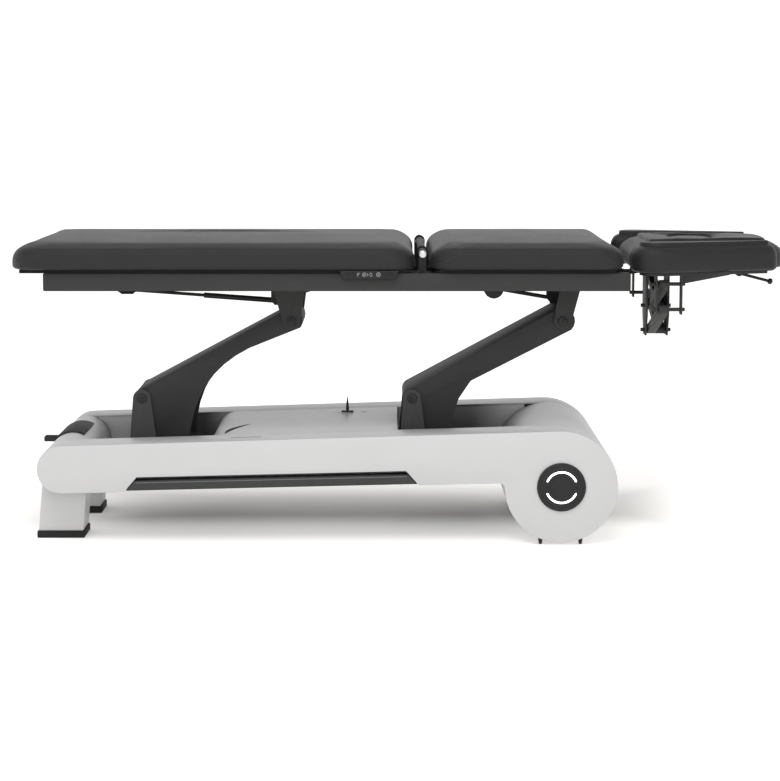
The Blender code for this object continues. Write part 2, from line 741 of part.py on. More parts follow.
def build_chassis():
    both_sides("chassis_rail", chassis_rail, white_cover())
    half = AXLE_SIZE / 2
    reach = HALF_BASE - COVER_WALL - FIT
    axle = block((FOOT_END_X - half, FOOT_END_X + half), (-reach, reach),
                 (FOOT_END_Z - half, FOOT_END_Z + half))
    place("foot_axle_tube", axle, dark_steel())
    place("drum_end_frame", drum_end_frame(), black_plastic())
    both_sides("foot_block", foot_block, white_cover())
    both_sides("foot_sole", foot_sole, rubber())


def hub_disc():
    face = -HALF_BASE - FIT
    profile = [(0, 0), (HUB_RADIUS, 0), (HUB_RADIUS, HUB_DEPTH - COVER_EDGE),
               (HUB_RADIUS - COVER_EDGE, HUB_DEPTH), (0, HUB_DEPTH)]
    return turned(profile, (DRUM_X, face, DRUM_Z), (0, -1, 0), 40)


def light_ring(upper):
    """Half of the light ring: a flat arc on the hub disc."""
    start = LIGHT_GAP if upper else math.pi + LIGHT_GAP
    end = start + math.pi - 2 * LIGHT_GAP
    outer = arc((DRUM_X, DRUM_Z), LIGHT_RADIUS + LIGHT_WIDTH / 2, start, end, 16)
    inner = arc((DRUM_X, DRUM_Z), LIGHT_RADIUS - LIGHT_WIDTH / 2, end, start, 16)
    face = -HALF_BASE - 2 * FIT - HUB_DEPTH
    return prism(outer + inner, face - LIGHT_DEPTH, face)


def kick_bar():
    """Foot bar in the cover's slot, on two stems that reach the chassis rail."""
    gap = KICK_SLOT_HEIGHT - KICK_BAR_HEIGHT
    bar = prism(kick_outline(gap / 4, gap / 4 + KICK_BAR_HEIGHT, KICK_SIDE_GAP), -HALF_BASE,
                -HALF_BASE + KICK_BAR_DEPTH)
    soften(bar, COVER_EDGE, -HALF_BASE)
    inner = -BEAM_INNER - CHASSIS_WIDTH - FIT
    span = KICK_RIGHT - KICK_LEFT
    for share in (0.2, 0.8):
        x = KICK_LEFT + share * span
        z = belly_line(x) + gap / 4 + KICK_BAR_HEIGHT / 2
        start = -HALF_BASE + KICK_BAR_DEPTH / 2
        bar = join(bar, cross_rod(x, z, (start, inner), KICK_STEM_RADIUS))
    return bar


def build_trim():
    both_sides("hub_disc", hub_disc, black_plastic())
    glow = finish("light_guide", (0.95, 0.95, 0.95), 0.3)
    both_sides("light_arc_upper", lambda: light_ring(True), glow)
    both_sides("light_arc_lower", lambda: light_ring(False), glow)
    inner = FOOT_END_RADIUS + FIT
    outer = inner + PLATE_THICKNESS
    centre = (FOOT_END_X, FOOT_END_Z)
    plate = arc(centre, outer, PLATE_START, PLATE_END, 12)
    plate += arc(centre, inner + FIT, PLATE_END, PLATE_START, 12)
    place("foot_end_plate", prism(plate, -PLATE_WIDTH / 2, PLATE_WIDTH / 2), black_plastic())
    pedal = block((PEDAL_PIVOT_X - PEDAL_REACH, PEDAL_PIVOT_X + PEDAL_HEEL),
                  (-PEDAL_WIDTH / 2, PEDAL_WIDTH / 2), (PEDAL_BOTTOM, PEDAL_BOTTOM + PEDAL_HEIGHT))
    soften(pedal, COVER_EDGE)
    place("foot_pedal", pedal, black_plastic(), (PEDAL_PIVOT_X, 0, PEDAL_BOTTOM))
    middle = (KICK_LEFT + KICK_RIGHT) / 2
    both_sides("kick_bar", kick_bar, dark_steel(), (middle, -HALF_BASE, belly_line(middle)))


def ear_outline(x, z, foot_left, foot_right, foot_z):
    """Plate that narrows from a foot to a round end about a pivot."""
    top = arc((x, z), EAR_RADIUS, 0, math.pi, 12)
    return [(foot_left, foot_z), (foot_right, foot_z)] + top


def cheek_pair(x, z, top, inner, half_length):
    """Two hanging or standing clevis cheeks with a bore on (x, z), as outlines and depths."""
    reach = CHEEK_THICKNESS + inner
    direction = 1 if top > z else -1
    edge = z - direction * 2.2 * PIN_RADIUS
    corners = [(x - half_length, top), (x + half_length, top), (x + half_length, z),
               (x + half_length / 2, edge), (x - half_length / 2, edge), (x - half_length, z)]
    return [prism(corners, y0, y1) for y0, y1 in ((inner, reach), (-reach, -inner))]


def pin_bore(x, z):
    return cross_rod(x, z, (-BEAM_WIDTH, BEAM_WIDTH), running_bore(PIN_RADIUS))


def shaft_bore(x, z):
    return cross_rod(x, z, (-BEAM_INNER, BEAM_INNER), running_bore(SHAFT_RADIUS))


def tower(x, left, right):
    """Floor plate between the chassis rails with two ears that hold an arm's lower shaft."""
    body = block((left, right), (-DECK_HALF, DECK_HALF), (TOWER_FLOOR_Z, TOWER_FLOOR_Z + TOWER_PLATE))
    outline = ear_outline(x, LOWER_PIVOT_Z, x - TOWER_LEFT, x + TOWER_RIGHT, TOWER_FLOOR_Z + TOWER_PLATE / 2)
    for y in ((-EAR_OUTER, -EAR_INNER), (EAR_INNER, EAR_OUTER)):
        body = join(body, prism(outline, *y))
    return cut(body, shaft_bore(x, LOWER_PIVOT_Z))


def arm_ends(x):
    lower = Vector((x, LOWER_PIVOT_Z))
    upper = lower + Vector((ARM_COS, ARM_SIN)) * ARM_LENGTH
    return lower, upper


def on_arm(lower, along, across):
    """Point given along the pivot line and square to it, from the lower pivot."""
    spot = lower + Vector((ARM_COS, ARM_SIN)) * along + Vector((-ARM_SIN, ARM_COS)) * across
    return (spot.x, spot.y)


def arm(x, outline, pocket, extra=()):
    """Welded channel arm, open below, with a cross shaft at each end."""
    half = ARM_WIDTH / 2
    reach = EAR_OUTER + SHAFT_END
    body = prism(outline, -half, half)
    body = cut(body, prism(pocket, -half + ARM_WALL, half - ARM_WALL), *extra)
    for spot in arm_ends(x):
        body = join(body, cross_rod(spot.x, spot.y, (-reach, reach), SHAFT_RADIUS))
    return body


def foot_arm_outline():
    """Curved arm at the foot end, with its boot in the base."""
    lower, upper = arm_ends(LOWER_PIVOT_X)
    end = ARM_LENGTH
    tip = arc(upper, 0.030, ARM_ANGLE - math.pi / 2 + 0.45, ARM_ANGLE + math.pi / 2, 8)
    bend = []
    start = Vector((lower.x + 0.126, lower.y - 0.125))
    stop = Vector(on_arm(lower, end - 0.135, -0.013))
    middle = Vector((lower.x + 0.135, lower.y + 0.060))
    for k in range(9):
        t = k / 8
        spot = start * (1 - t) ** 2 + middle * 2 * t * (1 - t) + stop * t * t
        bend.append((spot.x, spot.y))
    heel = [(lower.x + 0.030, lower.y - 0.125)]
    back = arc(lower, 0.023, math.pi / 2 + ARM_ANGLE, math.pi * 1.05, 8)
    return heel + bend + tip + back


def foot_arm_pocket():
    lower, upper = arm_ends(LOWER_PIVOT_X)
    return [(lower.x + 0.040, lower.y - 0.150), (upper.x, lower.y - 0.150),
            on_arm(lower, ARM_LENGTH - 0.050, -0.100), on_arm(lower, ARM_LENGTH - 0.050, 0.016),
            on_arm(lower, 0.060, 0.008)]


def head_arm_outline():
    """Straight-sided arm at the head end, with the crank that the lift actuator pushes."""
    lower, upper = arm_ends(HEAD_PIVOT_X)
    tip = arc(upper, 0.034, ARM_ANGLE - math.pi / 2 + 0.3, ARM_ANGLE + math.pi / 2, 8)
    boot = [(lower.x + 0.045, lower.y - 0.140), (lower.x + 0.098, lower.y - 0.140),
            (lower.x + 0.101, lower.y - 0.080), (lower.x + 0.126, lower.y - 0.003),
            (lower.x + 0.1585, lower.y + 0.046)]
    back = arc(lower, 0.026, math.pi / 2 + ARM_ANGLE, math.pi * 1.1, 8)
    return boot + tip + back


def head_arm_pocket():
    lower, upper = arm_ends(HEAD_PIVOT_X)
    return [(lower.x + 0.052, lower.y - 0.170), (upper.x, lower.y - 0.170),
            on_arm(lower, ARM_LENGTH - 0.055, -0.100), on_arm(lower, ARM_LENGTH - 0.055, 0.020),
            on_arm(lower, 0.065, 0.012)]


def drive(stem, pivot, tip, tube_radius, tube_length, rod_radius, inner, stroke_in=0.0, extra=()):
    """Telescopic drive: a tube with a cross pin at its pivot, and a rod with an eye at its tip."""
    start = Vector((pivot[0], 0, pivot[1]))
    end = Vector((tip[0], 0, tip[1]))
    run = (end - start).normalized()
    bore = rod_radius + RUN
    back = 2 * PIN_RADIUS
    profile = [(0, -back), (tube_radius * 0.7, -back), (tube_radius, 0), (tube_radius, tube_length),
               (0, tube_length)]
    reach = inner + CHEEK_THICKNESS
    pin = cross_rod(pivot[0], pivot[1], (-reach, reach), PIN_RADIUS)
    tube = join(turned(profile, start, run), pin, *extra)
    tube = cut(tube, rod(start + run * back, start + run * (tube_length + back), bore))
    place(f"{stem}_tube", tube, black_plastic(), start)
    stop = (end - start).length
    bar = rod(start + run * (back + rod_radius + stroke_in), start + run * stop, rod_radius)
    eye = cross_rod(tip[0], tip[1], (-inner + EYE_GAP, inner - EYE_GAP), 2 * PIN_RADIUS)
    place(f"{stem}_rod", join(bar, eye), bright_steel(), end)


def build_lift():
    inner = LIFT_TUBE_RADIUS + EYE_GAP
    foot = tower(LOWER_PIVOT_X, FOOT_WELL_LEFT, FOOT_TOWER_RIGHT)
    cheeks = cheek_pair(*LIFT_PIN, TOWER_FLOOR_Z + TOWER_PLATE / 2, inner, 3 * PIN_RADIUS)
    foot = cut(join(foot, *cheeks), pin_bore(*LIFT_PIN))
    place("tower_foot", foot, dark_steel())
    place("tower_head", tower(HEAD_PIVOT_X, DECK_RIGHT + FIT, HEAD_WELL_RIGHT), dark_steel())
    x = LOWER_PIVOT_X
    place("foot_arm", arm(x, foot_arm_outline(), foot_arm_pocket()), dark_steel(), (x, 0, LOWER_PIVOT_Z))
    x = HEAD_PIVOT_X
    way = block((x, x + LIFT_CRANK[0]), (-inner, inner),
                (LOWER_PIVOT_Z + LIFT_CRANK[1] - BEAM_WIDTH / 2, LOWER_PIVOT_Z + LIFT_CRANK[1] + inner * 1.6))
    body = arm(x, head_arm_outline(), head_arm_pocket(), [way])
    place("head_arm", body, dark_steel(), (x, 0, LOWER_PIVOT_Z))
    crank = (HEAD_PIVOT_X + LIFT_CRANK[0], LOWER_PIVOT_Z + LIFT_CRANK[1])
    drive("lift_actuator", LIFT_PIN, crank, LIFT_TUBE_RADIUS, LIFT_TUBE_LENGTH, LIFT_ROD_RADIUS, inner,
          LIFT_STROKE_IN)


def bracket(x, left, right, extra=()):
    """Cross channel between the rails with two hanging ears for an arm's upper tube."""
    top = RAIL_TOP - 4 * FIT
    low = RAIL_BOTTOM + RAIL_HEIGHT / 3
    reach = RAIL_INNER - FIT
    body = block((left, right), (-reach, reach), (low, top))
    ear = [(right, low + BRACKET_PLATE), (left, low + BRACKET_PLATE)]
    ear += arc((x, UPPER_PIVOT_Z), EAR_RADIUS, math.pi, 2 * math.pi, 12)
    for y in ((-EAR_OUTER, -EAR_INNER), (EAR_INNER, EAR_OUTER)):
        body = join(body, prism(ear, *y))
    body = join(body, *extra)
    return cut(body, shaft_bore(x, UPPER_PIVOT_Z))


def gussets(x, start):
    """Tapered plates that carry the ears' load along the rails, one per ear."""
    low = RAIL_BOTTOM - GUSSET_DEPTH
    outline = [(x + start - BRACKET_PLATE, low), (x + GUSSET_REACH, RAIL_BOTTOM - BRACKET_PLATE / 2),
               (x + GUSSET_REACH, RAIL_BOTTOM + BRACKET_PLATE), (x + start - BRACKET_PLATE, RAIL_BOTTOM + BRACKET_PLATE)]
    return [prism(outline, *y) for y in ((-EAR_OUTER + RUN, -EAR_INNER - RUN), (EAR_INNER + RUN, EAR_OUTER - RUN))]


def hinge_carrier():
    """Hinge tube in the gap between the cushions, on two posts and a cross tube in the frame."""
    reach = RAIL_INNER - FIT
    low = RAIL_BOTTOM + RAIL_HEIGHT / 4
    body = cross_rod(HINGE_X, HINGE_Z, (-RAIL_OUTER, RAIL_OUTER), HINGE_RADIUS)
    half = HINGE_RADIUS - 2 * RUN
    for side in (-1, 1):
        y = sorted((side * reach, side * (reach - HINGE_POST)))
        body = join(body, block((HINGE_X - half, HINGE_X + half), y, (low, HINGE_Z)))
    right = BACK_FRAME_PIN[0] - 3 * PIN_RADIUS
    body = join(body, block((HINGE_X - half / 2, right), (-reach, reach), (low, RAIL_TOP - 8 * RUN)))
    inner = BACK_TUBE_RADIUS + EYE_GAP
    x, z = BACK_FRAME_PIN
    for y in ((inner, inner + CHEEK_THICKNESS), (-inner - CHEEK_THICKNESS, -inner)):
        body = join(body, block((right - PIN_RADIUS, x + 3 * PIN_RADIUS), y, (low, RAIL_TOP - 9 * RUN)))
    return cut(body, pin_bore(x, z))


def build_top_frame():
    both_sides("rail", lambda: box_tube((RAIL_LEFT, RAIL_BOTTOM, RAIL_TOP),
                                        (RAIL_RIGHT, RAIL_BOTTOM, RAIL_TOP),
                                        (-RAIL_OUTER, -RAIL_INNER), RAIL_WALL), dark_steel())
    reach = RAIL_INNER - FIT
    end = block((RAIL_LEFT, RAIL_LEFT + RAIL_WIDTH), (-reach, reach),
                (RAIL_BOTTOM, RAIL_TOP - 2 * RUN))
    place("frame_end_tube", end, dark_steel())
    inner = LEG_TUBE_RADIUS + EYE_GAP
    hang = cheek_pair(*LEG_FRAME_PIN, RAIL_BOTTOM + RAIL_HEIGHT / 2, inner, 4 * PIN_RADIUS)
    foot = bracket(UPPER_PIVOT_X, LEG_FRAME_PIN[0] - 4 * PIN_RADIUS, UPPER_PIVOT_X + FOOT_BRACKET_RIGHT,
                   hang + gussets(UPPER_PIVOT_X, FOOT_BRACKET_RIGHT * 0.6))
    place("bracket_foot", cut(foot, pin_bore(*LEG_FRAME_PIN)), dark_steel())
    x = UPPER_PIVOT_X + PIVOT_SPACING
    way = block((x - BACK_PIN_WAY, x + BACK_PIN_WAY), (-BACK_PIN_WAY, BACK_PIN_WAY), (RAIL_BOTTOM, RAIL_TOP))
    place("bracket_head", cut(bracket(x, x, x + HEAD_BRACKET_RIGHT), way), dark_steel())
    place("hinge_carrier", hinge_carrier(), dark_steel())
    top = PAD_BOTTOM - 2 * FIT
    panel = [(PANEL_LEFT + PANEL_TAPER, top - PANEL_HEIGHT), (PANEL_RIGHT - PANEL_TAPER, top - PANEL_HEIGHT),
             (PANEL_RIGHT, top), (PANEL_LEFT, top)]
    face = -RAIL_OUTER - FIT
    panel = soften(prism(panel, face - PANEL_DEPTH, face), COVER_EDGE, face - PANEL_DEPTH)
    place("control_panel", panel, finish("panel_gloss", (0.01, 0.01, 0.011), 0.12))


def rectangle(left, right, half):
    return [(left, -half), (right, -half), (right, half), (left, half)]


def hinge_lug(side, y):
    """Hook from a section's board round the hinge tube. side is -1 for the leg section."""
    eye = HINGE_RADIUS + 0.0042
    edge = HINGE_X + side * eye
    board = HINGE_X + side * (PAD_GAP / 2 + BOARD_INSET + 0.020)
    low = BOARD_BOTTOM
    high = BOARD_BOTTOM + BOARD_THICKNESS
    stem = [(board, low), (HINGE_X + side * RUN, low), (HINGE_X + side * RUN, HINGE_Z), (edge, HINGE_Z),
            (edge, high), (board, high)]
    y0 = y - CHEEK_THICKNESS / 2
    y1 = y + CHEEK_THICKNESS / 2
    ring = cross_rod(HINGE_X, HINGE_Z, (y0, y1), eye)
    hook = join(prism(stem, y0, y1), ring)
    return hook


def section_board(left, right, side, lug_y, pin, inner, half_length):
    """Board of a section with its hinge lugs and the cheeks for its drive."""
    y = TABLE_WIDTH / 2 - BOARD_INSET - 4 * FIT
    body = block((left, right), (-y, y), (BOARD_BOTTOM, BOARD_BOTTOM + BOARD_THICKNESS))
    for spot in (-lug_y, lug_y):
        body = join(body, hinge_lug(side, spot))
    body = cut(body, cross_rod(HINGE_X, HINGE_Z, (-RAIL_INNER, RAIL_INNER), running_bore(HINGE_RADIUS)))
    return join(body, *cheek_pair(*pin, BOARD_BOTTOM + BOARD_THICKNESS / 2, inner, half_length))


def build_leg_section():
    axis = (HINGE_X, 0, HINGE_Z)
    half = TABLE_WIDTH / 2
    pad = cushion(rectangle(LEG_LEFT, LEG_RIGHT, half), [PAD_CORNER] * 4, PAD_BOTTOM, PAD_THICKNESS)
    place("leg_pad", pad, leather(), axis)
    inner = LEG_TUBE_RADIUS + EYE_GAP
    board = section_board(LEG_LEFT + BOARD_INSET, LEG_RIGHT - BOARD_INSET, -1, LEG_LUG_Y, LEG_PIN, inner,
                          6 * PIN_RADIUS)
    place("leg_board", board, black_plastic(), axis)
    drive("leg_spring", LEG_FRAME_PIN, LEG_PIN, LEG_TUBE_RADIUS, LEG_TUBE_LENGTH, LEG_ROD_RADIUS, inner)


def build_back_section():
    axis = (HINGE_X, 0, HINGE_Z)
    half = TABLE_WIDTH / 2
    pad = cushion(rectangle(BACK_LEFT, BACK_RIGHT, half), [PAD_CORNER] * 4, PAD_BOTTOM, PAD_THICKNESS)
    place("back_pad", pad, leather(), axis)
    inner = BACK_TUBE_RADIUS + EYE_GAP
    right = BACK_RIGHT - BOARD_INSET
    board = section_board(BACK_LEFT + BOARD_INSET, right, 1, BACK_LUG_Y, BACK_PIN, inner, 3 * PIN_RADIUS)
    for y in (-HEAD_LUG_Y, HEAD_LUG_Y):
        lug = [(right - PIN_RADIUS, BOARD_BOTTOM)]
        lug += arc((HEAD_HINGE_X, HEAD_HINGE_Z), 1.8 * PIN_RADIUS, -math.pi / 2, math.pi / 2, 8)
        lug += [(right - PIN_RADIUS, BOARD_BOTTOM + BOARD_THICKNESS)]
        plate = prism(lug, y, y + CHEEK_THICKNESS)
        board = join(board, plate)
    board = cut(board, cross_rod(HEAD_HINGE_X, HEAD_HINGE_Z, (-RAIL_INNER, RAIL_INNER),
                                 running_bore(PIN_RADIUS)))
    place("back_board", board, black_plastic(), axis)
    pivot = Vector((BACK_FRAME_PIN[0], 0, BACK_FRAME_PIN[1]))
    run = (Vector((BACK_PIN[0], 0, BACK_PIN[1])) - pivot).normalized()
    spot = pivot + run * MOTOR_OFFSET
    motor = cross_rod(spot.x, spot.z, (-MOTOR_WIDTH / 2, MOTOR_WIDTH / 2), MOTOR_RADIUS)
    drive("back_actuator", BACK_FRAME_PIN, BACK_PIN, BACK_TUBE_RADIUS, BACK_TUBE_LENGTH + MOTOR_RADIUS,
          BACK_ROD_RADIUS, inner, 0.0, [motor])


def head_corners(inset_y=0.0):
    return [(HEAD_LEFT, -HEAD_HALF_WIDTH + inset_y), (HEAD_RIGHT, -HEAD_END_HALF_WIDTH + inset_y),
            (HEAD_RIGHT, HEAD_END_HALF_WIDTH - inset_y), (HEAD_LEFT, HEAD_HALF_WIDTH - inset_y)]


def plug_outline(inset):
    half = PLUG_LENGTH / 2
    corners = rectangle(PLUG_X - half, PLUG_X + half, PLUG_WIDTH / 2)
    return rounded_outline(corners, [PLUG_CORNER] * 4, inset, 6)


def head_board():
    """Board below the head cushion, with the face hole and two hinge lugs with pins."""
    radii = [HEAD_BOARD_CORNER, HEAD_END_CORNER, HEAD_END_CORNER, HEAD_BOARD_CORNER]
    outline = rounded_outline(head_corners(), radii, BOARD_INSET, 5)
    body = prism(outline, HEAD_BOARD_BOTTOM, HEAD_BOARD_TOP, "XY")
    body = cut(body, prism(plug_outline(PLUG_LEDGE), HEAD_BOARD_BOTTOM - FIT, HEAD_PAD_BOTTOM, "XY"))
    left = HEAD_LEFT + BOARD_INSET + PIN_RADIUS
    for side in (-1, 1):
        y0 = side * HEAD_LUG_Y
        low = y0 - 2 * RUN - CHEEK_THICKNESS
        lug = [(left, HEAD_BOARD_BOTTOM), (left, HEAD_BOARD_TOP)]
        lug += arc((HEAD_HINGE_X, HEAD_HINGE_Z), 1.6 * PIN_RADIUS, math.pi / 2, 3 * math.pi / 2, 8)
        plate = prism(lug, low, low + CHEEK_THICKNESS)
        pin = cross_rod(HEAD_HINGE_X, HEAD_HINGE_Z, (low, y0 + CHEEK_THICKNESS + 2 * RUN), PIN_RADIUS)
        body = join(body, plate, pin)
    return body


def hanger():
    """Channel below the head board: two plates across the table with the links' pivot pins."""
    top = HEAD_BOARD_BOTTOM - FIT
    half = HANGER_WIDTH / 2
    low = top - HANGER_DEPTH
    x1 = HANGER_X + HANGER_LENGTH
    body = block((HANGER_X, x1), (-half, half), (top - HANGER_PLATE, top))
    shape = [(-half, top), (-half, low + HANGER_DEPTH / 3), (-half / 2, low), (half / 2, low),
             (half, low + HANGER_DEPTH / 3), (half, top)]
    for x in (HANGER_X, x1 - HANGER_PLATE):
        body = join(body, prism(shape, x, x + HANGER_PLATE, "YZ"))
    for z in (LINK_UPPER_Z, LINK_LOWER_Z):
        over = 2 * PIN_RADIUS
        body = join(body, rod((HANGER_X - over, 0, z), (x1 + over, 0, z), PIN_RADIUS))
    return body


def armrest_corners():
    """Near armrest in plan, anticlockwise: its inner side runs along the head cushion."""
    right = HEAD_RIGHT - ARMREST_SHORTER
    slope = (HEAD_HALF_WIDTH - HEAD_END_HALF_WIDTH) / (HEAD_RIGHT - HEAD_LEFT)
    inner_left = HEAD_HALF_WIDTH + ARMREST_GAP + slope * (HEAD_LEFT - ARMREST_LEFT)
    inner_right = HEAD_HALF_WIDTH + ARMREST_GAP - slope * (right - HEAD_LEFT)
    return [(ARMREST_LEFT, -TABLE_WIDTH / 2), (right, -ARMREST_END_HALF_WIDTH), (right, -inner_right),
            (ARMREST_LEFT, -inner_left)]


def armrest_pad():
    return cushion(armrest_corners(), ARMREST_CORNERS, HEAD_PAD_BOTTOM, PAD_THICKNESS,
                   PAD_CROWN / 2, ARMREST_ROUND + 0.002, ARMREST_ROUND)


def armrest_carrier():
    """Plate below an armrest with a hanging channel and the pins of its two links."""
    plate = rounded_outline(armrest_corners(), ARMREST_CORNERS, BOARD_INSET, 4)
    body = prism(plate, HEAD_BOARD_BOTTOM, HEAD_BOARD_TOP, "XY")
    y = -LINK_REACH
    half = 3 * PIN_RADIUS
    low = LINK_LOWER_Z + LINK_RISE - CARRIER_DROP / 2
    x1 = CARRIER_X + CARRIER_LENGTH
    for x in (CARRIER_X, x1 - CARRIER_PLATE):
        side = block((x, x + CARRIER_PLATE), (y - half, y + half), (low, HEAD_BOARD_TOP - 2 * RUN))
        body = join(body, side)
    for z in (LINK_UPPER_Z, LINK_LOWER_Z):
        over = 1.6 * PIN_RADIUS
        pin = rod((CARRIER_X - over, y, z + LINK_RISE), (x1 + over, y, z + LINK_RISE), PIN_RADIUS)
        body = join(body, pin)
    rib = [(x1 - RUN, HEAD_BOARD_TOP - 2 * RUN), (x1 - RUN, LINK_UPPER_Z + LINK_RISE),
           (x1 + 0.125, HEAD_BOARD_BOTTOM + RUN), (x1 + 0.125, HEAD_BOARD_TOP - 2 * RUN)]
    return join(body, prism(rib, y - CARRIER_PLATE / 2, y + CARRIER_PLATE / 2))


def armrest_link(side, x, z):
    """Flat link from the hanger out to an armrest, with an eye at each end."""
    sign = -1 if side == "near" else 1
    start = Vector((0, z))
    end = Vector((sign * LINK_REACH, z + LINK_RISE))
    heading = math.atan2(end.y - start.y, end.x - start.x)
    quarter = math.pi / 2
    outline = arc(end, LINK_HALF_HEIGHT, heading - quarter, heading + quarter, 8)
    outline += arc(start, LINK_HALF_HEIGHT, heading + quarter, heading + 3 * quarter, 8)
    body = prism(outline, x, x + LINK_THICKNESS, "YZ")
    for spot in (start, end):
        bore = rod((x - RUN, spot.x, spot.y), (x + LINK_THICKNESS + RUN, spot.x, spot.y),
                   running_bore(PIN_RADIUS))
        body = cut(body, bore)
    return body


def build_head_section():
    axis = (HEAD_HINGE_X, 0, HEAD_HINGE_Z)
    radii = [PAD_CORNER, HEAD_END_CORNER, HEAD_END_CORNER, PAD_CORNER]
    pad = cushion(head_corners(), radii, HEAD_PAD_BOTTOM, PAD_THICKNESS, PAD_CROWN, PAD_TOP_REACH + 0.004)
    top = HEAD_PAD_BOTTOM + PAD_THICKNESS
    hole = prism(plug_outline(0), HEAD_PAD_BOTTOM - PLUG_GAP, top + PLUG_GAP, "XY")
    place("head_pad", cut(pad, hole), leather(), axis)
    rings = []
    shares = ((0.05, 0), (0, 0.05), (0, 0.85), (0.03, 0.93), (0.11, 0.99), (0.40, 1.0))
    for inset, height in shares:
        spots = plug_outline(PLUG_GAP + inset * PAD_THICKNESS)
        rings.append([(x, y, HEAD_PAD_BOTTOM + height * PAD_THICKNESS) for x, y in spots])
    place("face_plug", loft(rings), leather(), (PLUG_X, 0, HEAD_PAD_BOTTOM))
    place("head_board", head_board(), black_plastic(), axis)
    place("armrest_hanger", hanger(), dark_steel(), axis)
    reach = LINK_REACH
    for side, sign, x in (("near", -1, NEAR_LINK_X), ("far", 1, FAR_LINK_X)):
        for stem, z in (("upper", LINK_UPPER_Z), ("lower", LINK_LOWER_Z)):
            place(f"link_{stem}_{side}", armrest_link(side, x, z), dark_steel(), (x, 0, z))
    outer = (NEAR_LINK_X, -reach, LINK_UPPER_Z + LINK_RISE)
    both_sides("armrest_pad", armrest_pad, leather(), outer)
    both_sides("armrest_carrier", armrest_carrier, dark_steel(), outer)
    z = HEAD_BOARD_BOTTOM - 2 * RELEASE_RADIUS - FIT
    start = Vector((RELEASE_X, RELEASE_Y, z))
    end = start + Vector((RELEASE_LENGTH, 0, -RELEASE_FALL))
    lever = rod(start, end, RELEASE_RADIUS, 12)
    hub = cross_rod(RELEASE_X, z, (RELEASE_Y - 0.012, RELEASE_Y + 0.012), 2 * RELEASE_RADIUS)
    run = (end - start).normalized()
    knob = turned([(0, -KNOB_RADIUS), (KNOB_RADIUS, -KNOB_RADIUS / 2), (KNOB_RADIUS, KNOB_RADIUS / 2),
                   (0, KNOB_RADIUS)], end, run, 16)
    place("release_lever", join(lever, hub, knob), black_plastic(), start)


def main():
    clear_scene()
    build_covers()
    build_chassis()
    build_trim()
    build_deck_lever()
    build_lift()
    build_top_frame()
    build_leg_section()
    build_back_section()
    build_head_section()


main()
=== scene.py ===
# %% [markdown]
# # Dressing an electric massage table
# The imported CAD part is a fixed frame: every piece below is placed by it and moves with one of its
# bodies. Rigid pieces keep the CAD outline with softened edges, and the cushions, trim and small
# fittings are new surfaces. The frame could be rebuilt here by hand, but reading its boxes keeps the
# looks and the working model the same size.

import json
import math

import bmesh
import bpy
import numpy as np
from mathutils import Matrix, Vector
from mathutils.bvhtree import BVHTree
from mathutils.kdtree import KDTree


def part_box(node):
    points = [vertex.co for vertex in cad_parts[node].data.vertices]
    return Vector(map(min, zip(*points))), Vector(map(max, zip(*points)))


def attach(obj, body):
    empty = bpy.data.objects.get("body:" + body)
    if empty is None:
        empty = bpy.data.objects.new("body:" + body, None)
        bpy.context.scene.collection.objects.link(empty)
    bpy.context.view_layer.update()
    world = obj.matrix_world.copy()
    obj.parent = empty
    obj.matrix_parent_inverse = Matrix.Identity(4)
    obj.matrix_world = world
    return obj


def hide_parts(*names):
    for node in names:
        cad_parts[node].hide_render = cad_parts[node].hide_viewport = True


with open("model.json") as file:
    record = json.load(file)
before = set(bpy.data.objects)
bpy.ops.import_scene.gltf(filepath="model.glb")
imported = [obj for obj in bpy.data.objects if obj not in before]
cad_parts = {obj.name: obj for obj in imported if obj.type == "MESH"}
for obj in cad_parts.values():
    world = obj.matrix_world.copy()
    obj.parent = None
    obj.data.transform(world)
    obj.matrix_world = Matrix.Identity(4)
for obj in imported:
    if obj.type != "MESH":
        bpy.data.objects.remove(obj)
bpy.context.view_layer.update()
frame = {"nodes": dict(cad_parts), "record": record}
nodes = frame["nodes"]
body_of = {n: body for body, names in frame["record"]["behaviour"]["bodies"].items() for n in names}
slot_of = {row["node"]: row["material_slot"] for row in frame["record"]["subparts"]}

# %% [markdown]
# ## Writing shader maths in Python
# A finish such as leather grain is a sum of patterns. The nodes could be wired one at a time, but the
# formula then gets lost among the links. A small wrapper round a socket lets `1 - mask` or
# `grain * 0.5` add the Math nodes, so each finish reads as its formula.


